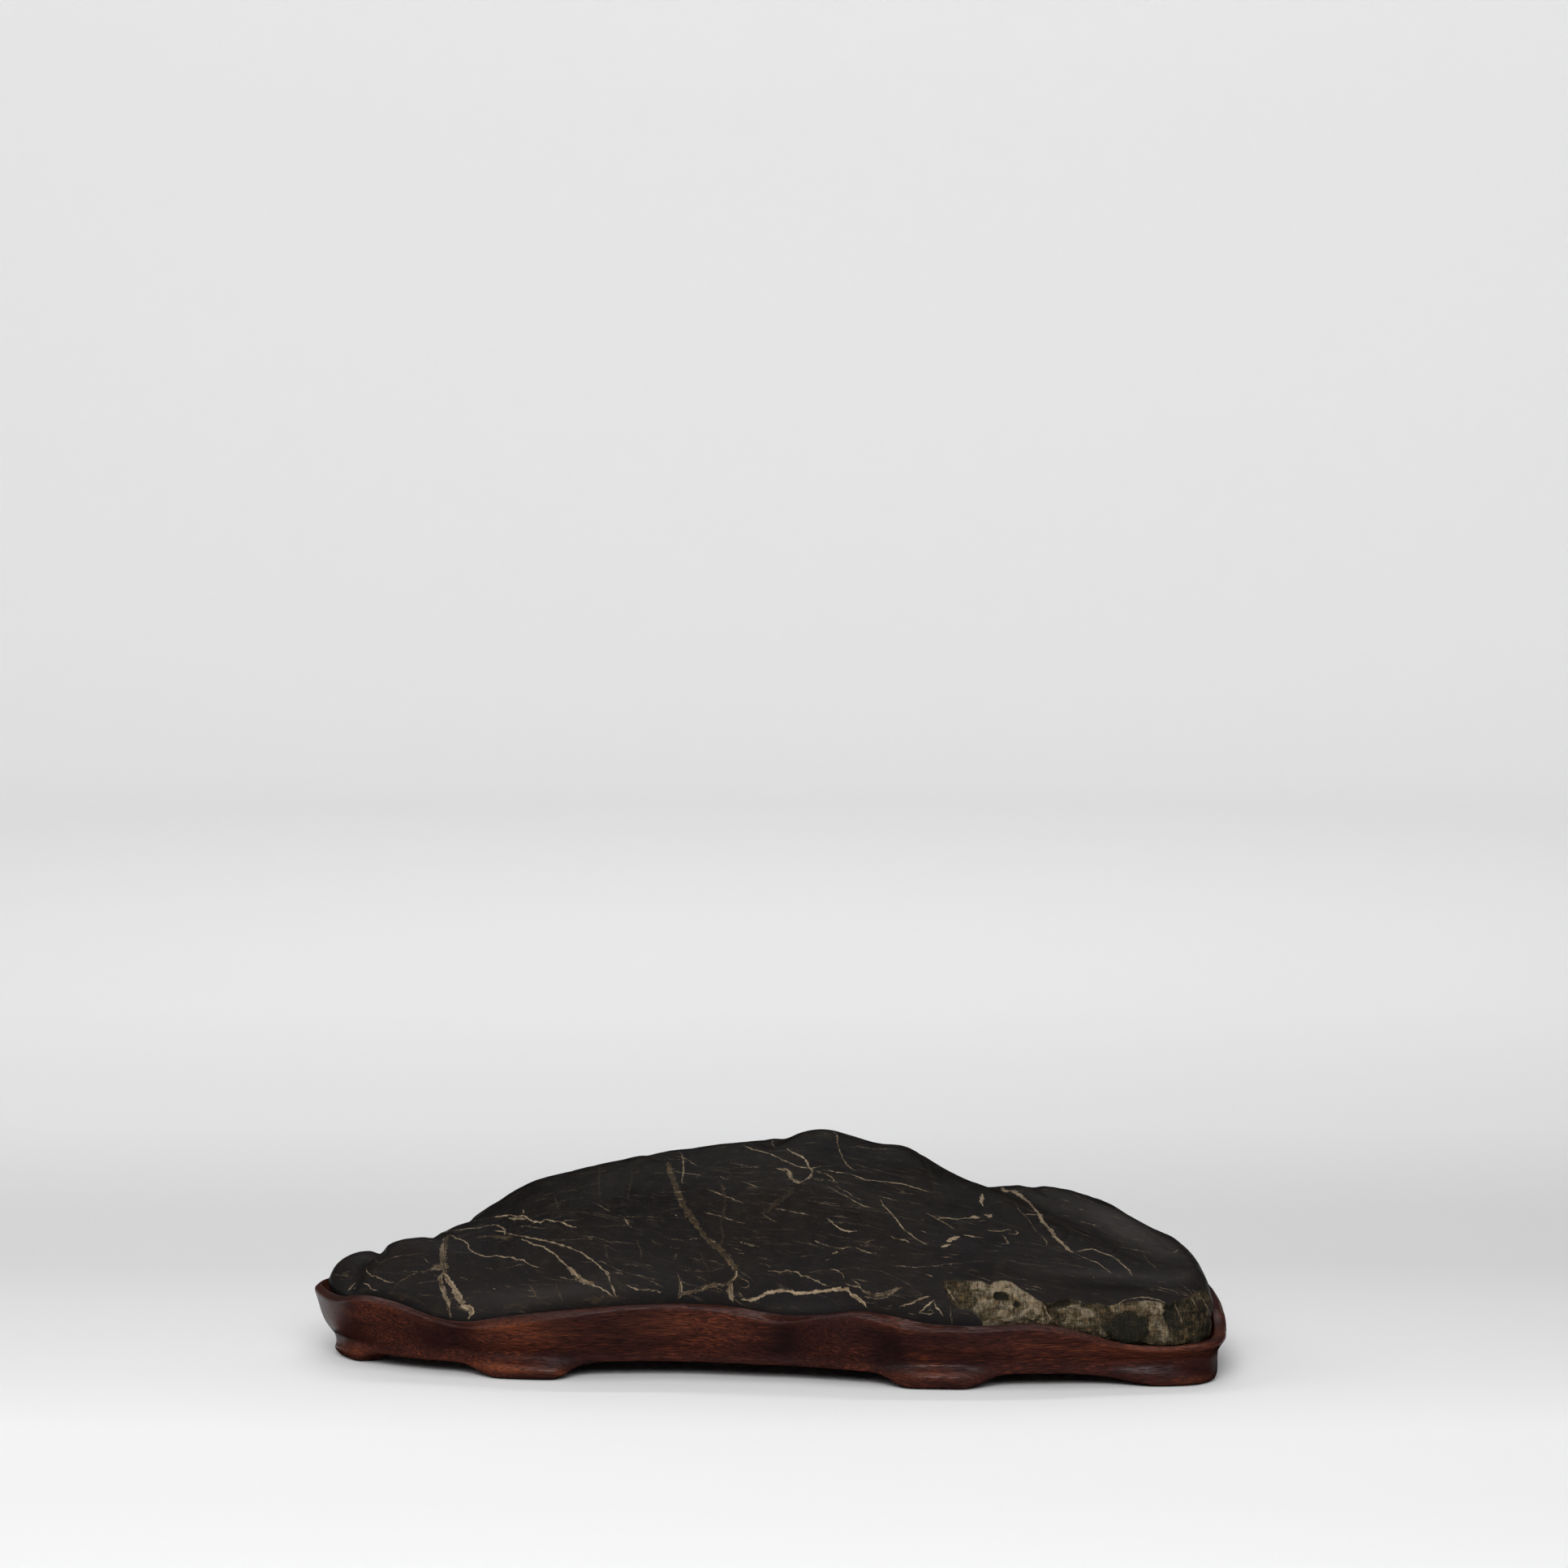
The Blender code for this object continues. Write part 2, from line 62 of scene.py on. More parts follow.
# ---- Meshes: lengths and heights in millimetres from here on ----
WELD = 0.01
FLAT_ANGLE = 1.0  # two triangles join in a quad up to this angle between them, in radians,
QUAD_ANGLE = 1.2  # where the quad's corners are no further from square than this
SUBDIVISIONS = 2
STONE_SMOOTHING = 3
FINE_ABOVE = 20.0  # the stone's mesh is finest above this height, where it faces the front
LEDGE_MARGIN = 1.5  # and finer still over the ledge and this far round it
SEAT_TOP = 34.0  # the stone is clear of the stand above this height
SEAT_REACH = 6.0  # distances to the stand are measured up to this one
SEAT_CLEARANCE = (0.35, 2.5)  # relief starts this far from the stand and is full this far from it
FACES_AWAY = 0.15  # a surface whose normal runs this much along the view is out of the photograph
FAR_OUTSIDE = -50.0


# ---- Numbers ----

LATTICE = 256  # cells until noise repeats
NOISE_GAIN = 1.7  # brings the noise to about -1 to 1
CELL_JITTER = 0.45  # how far a cell's seed lies from its middle, in cells
TOUCH_FADE = 0.35  # soft forms are full where a surface faces the camera this squarely


def smooth_step(value):
    """0 below 0, 1 above 1, and a smooth rise between."""
    value = np.clip(value, 0.0, 1.0)
    return value * value * (3.0 - 2.0 * value)


def bell(value):
    """1 at 0, falling to nothing on both sides, with its shoulder at 1."""
    return np.exp(-(value**2))


def lattice(seed):
    """The shuffled cells and the directions that noise and cells are made from."""
    random = np.random.default_rng(seed)
    directions = random.normal(size=(LATTICE, 3))
    directions /= np.linalg.norm(directions, axis=1, keepdims=True)
    return random.permutation(LATTICE), directions


def pick_cell(order, cell):
    """The entry of each lattice cell."""
    x, y, z = cell.T % LATTICE
    return order[(order[(order[x] + y) % LATTICE] + z) % LATTICE]


def noise_at(points, wavelength, seed):
    """Smooth noise, about -1 to 1, at points in millimetres. The wavelength may differ by axis."""
    order, directions = lattice(seed)
    scaled = points / np.asarray(wavelength, float)
    cell = np.floor(scaled).astype(int)
    part = scaled - cell
    fade = part**3 * (part * (part * 6.0 - 15.0) + 10.0)
    total = np.zeros(len(points))
    for corner in itertools.product((0, 1), repeat=3):
        gradient = directions[pick_cell(order, cell + corner)]
        weight = np.prod(np.where(np.array(corner) == 1, fade, 1.0 - fade), axis=1)
        total += weight * ((part - corner) * gradient).sum(axis=1)
    return total * NOISE_GAIN


def cells_at(points, size, seed):
    """For each point a random number of its cell, from -1 to 1, and how near the cell's edge is."""
    order, directions = lattice(seed)
    scaled = points / np.asarray(size, float)
    cell = np.floor(scaled).astype(int)
    best = np.full(len(points), np.inf)
    second = np.full(len(points), np.inf)
    value = np.zeros(len(points))
    for corner in itertools.product((-1, 0, 1), repeat=3):
        pick = pick_cell(order, cell + corner)
        middle = cell + corner + 0.5 + CELL_JITTER * directions[pick]
        away = np.linalg.norm(middle - scaled, axis=1)
        closer = away < best
        second = np.where(closer, best, np.minimum(second, away))
        best = np.where(closer, away, best)
        value = np.where(closer, directions[(pick + 7) % LATTICE, 0], value)
    return value, second - best


def in_picture(points):
    """Where points fall in the picture."""
    away = points - np.array(CAMERA_PLACE)
    depth = away @ FORWARD
    across = PICTURE_SIZE / 2.0 + FOCAL_PIXELS * away[:, 0] / depth
    down = PICTURE_SIZE / 2.0 - FOCAL_PIXELS * (away @ UPWARD) / depth
    return np.column_stack([across, down])


def direction_through(place):
    """Direction from the camera through a place in the picture."""
    across = (place[0] - PICTURE_SIZE / 2.0) / FOCAL_PIXELS
    down = (place[1] - PICTURE_SIZE / 2.0) / FOCAL_PIXELS
    direction = FORWARD + np.array([across, 0.0, 0.0]) - UPWARD * down
    return Vector(direction).normalized()


def near_form(places, centre, half_sizes, turn):
    """Distance from an oval form in the picture: 0 at its centre and 1 at its edge."""
    away = places - np.array(centre)
    turn = math.radians(turn)
    along = away[:, 0] * math.cos(turn) + away[:, 1] * math.sin(turn)
    across = away[:, 1] * math.cos(turn) - away[:, 0] * math.sin(turn)
    return np.hypot(along / half_sizes[0], across / half_sizes[1])


def touch(points, normals, forms):
    """The sum of soft forms, as heights or amounts, on whatever faces the camera.

    Each form has its place and half sizes in the picture, its turn in degrees, and its height.
    """
    places = in_picture(points)
    height = np.zeros(len(points))
    for centre, half_sizes, turn, raised in forms:
        height += raised * bell(near_form(places, centre, half_sizes, turn))
    return height * smooth_step(-(normals @ FORWARD) / TOUCH_FADE)


def line_distance(places, line):
    """Distance from places to a line through points, in the line's own unit."""
    line = np.asarray(line, float)
    nearest = np.full(len(places), np.inf)
    for start, end in zip(line, line[1:]):
        along = end - start
        share = np.clip((places - start) @ along / (along @ along), 0.0, 1.0)
        nearest = np.minimum(nearest, np.hypot(*(places - start - share[:, None] * along).T))
    return nearest


def outline_distance(places, outline):
    """Distance from places to a closed outline, positive inside it."""
    corners = np.asarray(outline, float)
    nearest = line_distance(places, np.vstack([corners, corners[:1]]))
    inside = np.zeros(len(places), bool)
    for start, end in zip(corners, np.roll(corners, -1, axis=0)):
        spans = (start[1] > places[:, 1]) != (end[1] > places[:, 1])
        rise = np.where(spans, end[1] - start[1], 1.0)
        crossing = start[0] + (places[:, 1] - start[1]) * (end[0] - start[0]) / rise
        inside ^= spans & (places[:, 0] < crossing)
    return np.where(inside, nearest, -nearest)


# ---- Meshes as arrays ----


def quad_cage(node):
    """A new object holding a CAD node's surface, with its triangles joined in quads."""
    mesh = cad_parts[node].data.copy()
    shape = bmesh.new()
    shape.from_mesh(mesh)
    bmesh.ops.remove_doubles(shape, verts=shape.verts, dist=WELD * MM)
    bmesh.ops.join_triangles(
        shape,
        faces=shape.faces,
        angle_face_threshold=FLAT_ANGLE,
        angle_shape_threshold=QUAD_ANGLE,
    )
    shape.to_mesh(mesh)
    shape.free()
    mesh.materials.clear()
    return bpy.data.objects.new(node + "_surface", mesh)


def subdivided(cage):
    """The cage's smooth surface as a plain mesh on the same object."""
    bpy.context.scene.collection.objects.link(cage)
    smooth = cage.modifiers.new("smooth", "SUBSURF")
    smooth.levels = smooth.render_levels = SUBDIVISIONS
    bpy.context.view_layer.update()
    evaluated = cage.evaluated_get(bpy.context.evaluated_depsgraph_get())
    mesh = bpy.data.meshes.new_from_object(evaluated)
    cage.modifiers.clear()
    cage.data = mesh
    mesh.shade_smooth()
    return cage


def surface_tree(mesh):
    """A tree that finds places on a mesh's surface."""
    shape = bmesh.new()
    shape.from_mesh(mesh)
    tree = BVHTree.FromBMesh(shape)
    shape.free()
    return tree


def rows_of(items, field, width, kind=np.float32):
    """A field of a mesh's items, one row for each."""
    values = np.empty(len(items) * width, kind)
    items.foreach_get(field, values)
    return values.reshape(-1, width)


def points_of(mesh):
    return rows_of(mesh.vertices, "co", 3).astype(float) / MM


def normals_of(mesh):
    return rows_of(mesh.vertex_normals, "vector", 3).astype(float)


def set_points(mesh, points):
    mesh.vertices.foreach_set("co", (points * MM).astype(np.float32).ravel())
    mesh.update()


def set_attribute(mesh, name, values):
    """Stores a number, or a row of four, on each point of a mesh."""
    kind = "FLOAT" if values.ndim == 1 else "FLOAT_COLOR"
    attribute = mesh.attributes.new(name, kind, "POINT")
    field = "value" if values.ndim == 1 else "color"
    attribute.data.foreach_set(field, values.astype(np.float32).ravel())


def relax(mesh, rounds):
    """Evens out a mesh by moving each point half way to the middle of its neighbours."""
    points = points_of(mesh)
    edges = rows_of(mesh.edges, "vertices", 2, np.int32)
    count = np.bincount(edges.ravel(), minlength=len(points))[:, None]
    for _ in range(rounds):
        total = np.zeros_like(points)
        for axis in range(3):
            for one, other in ((0, 1), (1, 0)):
                total[:, axis] += np.bincount(
                    edges[:, one], weights=points[edges[:, other], axis], minlength=len(points)
                )
        points += 0.5 * (total / count - points)
    set_points(mesh, points)


def refine(mesh, chosen):
    """Splits the faces all of whose points are chosen in four."""
    shape = bmesh.new()
    shape.from_mesh(mesh)
    faces = [face for face in shape.faces if all(chosen[v.index] for v in face.verts)]
    edges = list({edge for face in faces for edge in face.edges})
    bmesh.ops.subdivide_edges(shape, edges=edges, cuts=1, use_grid_fill=True)
    shape.to_mesh(mesh)
    shape.free()
    mesh.shade_smooth()


# ---- Stone: shape ----

# Outline of the broken ledge, in the picture.
LEDGE_TOP = (
    (1161, 1582), (1164, 1578.5), (1174, 1577), (1188, 1578.5), (1208, 1578.5), (1220, 1583.5),
    (1225, 1579), (1237, 1577), (1247, 1579.5), (1256, 1587), (1268, 1594.5), (1277, 1601),
    (1285, 1605), (1295, 1607), (1305, 1601), (1319, 1601), (1334, 1606.5), (1351, 1606),
    (1365, 1609.5), (1380, 1606), (1394, 1603.5), (1414, 1603), (1433, 1605), (1443, 1609.5),
    (1447, 1603), (1462, 1599), (1475, 1591), (1485, 1590), (1493, 1604), (1499, 1624),
)  # fmt: skip
LEDGE_BOTTOM = (
    (1506, 1650), (1490, 1664), (1400, 1670), (1340, 1655), (1300, 1642), (1215, 1640),
    (1205, 1621), (1194, 1613), (1184, 1613), (1172, 1607), (1167, 1595),
)  # fmt: skip


def ledge_depth(points, normals):
    """Distance inside the ledge's outline in millimetres, negative outside it and at the back."""
    depth = outline_distance(in_picture(points), LEDGE_TOP + LEDGE_BOTTOM) * PIXEL
    return np.where(normals @ FORWARD < FACES_AWAY, depth, FAR_OUTSIDE)


def finely_shown(points, normals):
    """Whether each point faces the front and clears the stand, where the mesh is finest."""
    return (normals @ FORWARD < -0.1) & (points[:, 2] > FINE_ABOVE)


def stone_mesh():
    """The stone's smooth surface, finer at the front and finest over the ledge."""
    stone = subdivided(quad_cage("stone"))
    mesh = stone.data
    relax(mesh, STONE_SMOOTHING)
    refine(mesh, finely_shown(points_of(mesh), normals_of(mesh)))
    points, normals = points_of(mesh), normals_of(mesh)
    refine(mesh, ledge_depth(points, normals) > -LEDGE_MARGIN)
    return stone


def stand_distance(points):
    """Distance in millimetres from each point to the stand, up to SEAT_REACH."""
    cage = quad_cage("stand")
    tree = surface_tree(cage.data)
    bpy.data.objects.remove(cage)
    near = np.full(len(points), SEAT_REACH)
    for i in np.nonzero(points[:, 2] < SEAT_TOP)[0]:
        found = tree.find_nearest(Vector(points[i] * MM), SEAT_REACH * MM)[3]
        if found is not None:
            near[i] = found / MM
    return near


# Waves and dents of the worn surface: height, wavelength, and seed of the noise.
STONE_WAVES = (
    (0.42, (24.0, 20.0, 14.0), 1),
    (0.26, (11.0, 9.0, 7.0), 2),
    (0.11, (5.5, 4.5, 3.6), 3),
    (0.045, 2.4, 4),
)
CRACK_DEPTH = 0.15
CRACK_SHARPNESS = 7.0


def waves(points, rows):
    """The sum of noises, each with its height, wavelength and seed."""
    return sum(height * noise_at(points, wavelength, seed) for height, wavelength, seed in rows)


def relief(points):
    """Gentle waves, dents and fine cracks of the weathered surface."""
    cracks = 1.0 - CRACK_SHARPNESS * np.abs(noise_at(points, (24.0, 20.0, 11.0), 5))
    return waves(points, STONE_WAVES) - CRACK_DEPTH * np.clip(cracks, 0.0, 1.0) ** 2


# The broken ledge: its floor's height and tone, and how far it lies below the stone's skin.
LEDGE_FLOOR = -0.8
LEDGE_TONE = 0.45
LEDGE_BELOW = 0.35
LEDGE_WARP = 5.0  # pixels of the picture by which noise moves the edges of the forms below
FORM_EDGE, FORM_FADE = 1.12, 0.3  # where a form ends and over what part of its size it fades in
LEDGE_EDGE = 0.9  # width of the step down to the ledge
LEDGE_PAINT_EDGE = 0.4  # width over which its colours take over
# How far each noise moves the ledge's height and tone: facets, crumbs and upright fibres.
LEDGE_HEIGHTS = (0.35, 0.16, 0.10)
LEDGE_TONES = (0.16, 0.08, 0.10)
# Forms inside the ledge, laid one over another: place, half sizes in the picture, turn in
# degrees, height in millimetres, and tone from dark 0 to cream 1.
LEDGE_FORMS = (
    ((1230, 1605), (70, 40), 0, -0.9, 0.70),
    ((1180, 1596), (22, 24), -10, -1.3, 0.50),
    ((1209, 1590), (13, 16), 0, -0.5, 0.78),
    ((1236, 1587), (15, 13), 0, 0.0, 0.95),
    ((1266, 1606), (15, 24), -25, -0.2, 0.90),
    ((1218, 1618), (18, 14), 20, -0.9, 0.62),
    ((1248, 1620), (20, 13), 0, -0.7, 0.85),
    ((1236, 1597), (11, 6.5), 22, -1.7, 0.05),
    ((1254, 1607), (5, 4), 0, -1.4, 0.12),
    ((1294, 1618), (8, 26), -20, -1.6, 0.50),
    ((1312, 1607), (18, 7), 5, -1.2, 0.22),
    ((1330, 1617), (24, 9), 8, -0.6, 0.74),
    ((1352, 1634), (24, 12), 15, -1.0, 0.54),
    ((1318, 1632), (20, 10), 20, -0.9, 0.60),
    ((1402, 1611), (36, 10), 0, -0.35, 0.74),
    ((1424, 1612), (12, 8), 0, -0.1, 0.85),
    ((1391, 1636), (26, 22), 0, 0.4, 0.06),
    ((1427, 1636), (13, 18), 0, -0.5, 0.68),
    ((1443, 1622), (7, 20), -8, -1.7, 0.05),
    ((1470, 1622), (22, 34), -10, -0.4, 0.36),
    ((1458, 1643), (18, 9), 0, -0.9, 0.40),
    ((1489, 1638), (8, 16), 0, -0.8, 0.24),
)


def ledge_relief(points, depth):
    """Height and tone of the broken steps, facets and upright fibres of the ledge."""
    warp = np.column_stack([noise_at(points, 5.0, 14), noise_at(points, 5.0, 15)])
    warp += 0.5 * np.column_stack([noise_at(points, 1.8, 16), noise_at(points, 1.8, 17)])
    places = in_picture(points) + LEDGE_WARP * warp
    height = np.full(len(points), LEDGE_FLOOR)
    tone = np.full(len(points), LEDGE_TONE)
    for centre, half_sizes, turn, raised, shade in LEDGE_FORMS:
        share = smooth_step((FORM_EDGE - near_form(places, centre, half_sizes, turn)) / FORM_FADE)
        height += share * (raised - height)
        tone += share * (shade - tone)
    facets, facet_edge = cells_at(points, (3.6, 3.0, 3.0), 18)
    crumbs, crumb_edge = cells_at(points, (1.4, 1.2, 1.6), 19)
    fibres = noise_at(points, (0.6, 1.2, 5.0), 13)
    texture = np.column_stack([facets, crumbs, fibres])
    rough = smooth_step((tone - 0.03) / 0.2)
    height += rough * (texture @ LEDGE_HEIGHTS - 0.25 * bell(facet_edge / 0.12))
    tone += rough * (texture @ LEDGE_TONES - 0.12 * bell(crumb_edge / 0.10))
    inside = smooth_step(depth / LEDGE_EDGE + 0.1)
    return inside * (height - LEDGE_BELOW), np.clip(tone, 0.0, 1.0)


# Creases of the stone: half width, depth, and places in the picture.
CREASES = (
    (1.5, 1.3, ((431, 1592), (436, 1580), (444, 1566), (455, 1553), (470, 1541))),
    (1.1, 0.5, ((530, 1526), (548, 1517), (566, 1510), (580, 1504))),
    (1.3, 0.9, ((974, 1394), (966, 1401), (956, 1407), (944, 1411))),
    (1.2, 0.8, ((1262, 1456), (1276, 1461), (1290, 1470))),
    (1.6, 0.5, ((799, 1424), (815, 1426), (826, 1433))),
    (2.6, 0.5, ((1085, 1590), (1120, 1578), (1155, 1566), (1200, 1566), (1250, 1572))),
)
# Soft swells and hollows of the stone: place and half sizes in the picture, turn in degrees, and
# height in millimetres.
STONE_TOUCHES = (
    ((500, 1565), (28, 16), -20, 0.5),
    ((640, 1580), (34, 18), 0, 0.5),
    ((842, 1420), (26, 7), 8, -0.6),
    ((985, 1440), (20, 12), 0, -0.35),
    ((1395, 1590), (40, 7), 3, 0.5),
    ((1240, 1568), (50, 6), 3, -0.4),
    ((1325, 1592), (30, 6), 5, 0.4),
)
# Painted sheen where the stone is paler, and painted shade where it is darker, in the same way but
# with an amount.
STONE_SHEEN_AND_SHADE = (
    ((1400, 1512), (105, 24), 24, 0.9),
    ((1370, 1571), (95, 7), 3, 0.45),
    ((1372, 1587), (60, 6), 3, -0.8),
    ((1200, 1570), (40, 7), 0, -0.5),
    ((660, 1595), (110, 16), -6, 0.5),
    ((450, 1545), (30, 12), -20, 0.3),
    ((590, 1425), (120, 14), -14, 0.25),
    ((1000, 1612), (70, 9), 0, 0.35),
    ((500, 1600), (40, 9), 12, -0.6),
    ((700, 1560), (40, 18), -20, -0.3),
    ((880, 1410), (60, 12), -8, 0.3),
)


def shape_stone(stone):
    """Raises the stone's relief and breaks its ledge, and stores what the material needs."""
    mesh = stone.data
    points, normals = points_of(mesh), normals_of(mesh)
    near = stand_distance(points)
    start, full = SEAT_CLEARANCE
    free = smooth_step((near - start) / (full - start))
    depth = ledge_depth(points, normals)
    places = in_picture(points)
    facing = smooth_step((0.5 - normals @ FORWARD) / 0.5)
    height = relief(points) + touch(points, normals, STONE_TOUCHES)
    for half_width, cut, line in CREASES:
        near_line = line_distance(places, line) * PIXEL / half_width
        height -= facing * cut * bell(near_line)
    height *= free
    broken, tone = ledge_relief(points, depth)
    height += np.where(broken < 0.0, broken, broken * free)
    set_points(mesh, points + normals * height[:, None])
    set_attribute(mesh, "ledge", smooth_step(depth / LEDGE_PAINT_EDGE + 0.5))
    set_attribute(mesh, "ledge_tone", tone)
    # Painted sheen where positive and painted shade where negative.
    set_attribute(mesh, "painted_sheen_and_shade", touch(points, normals, STONE_SHEEN_AND_SHADE))


# ---- Stone: veins ----

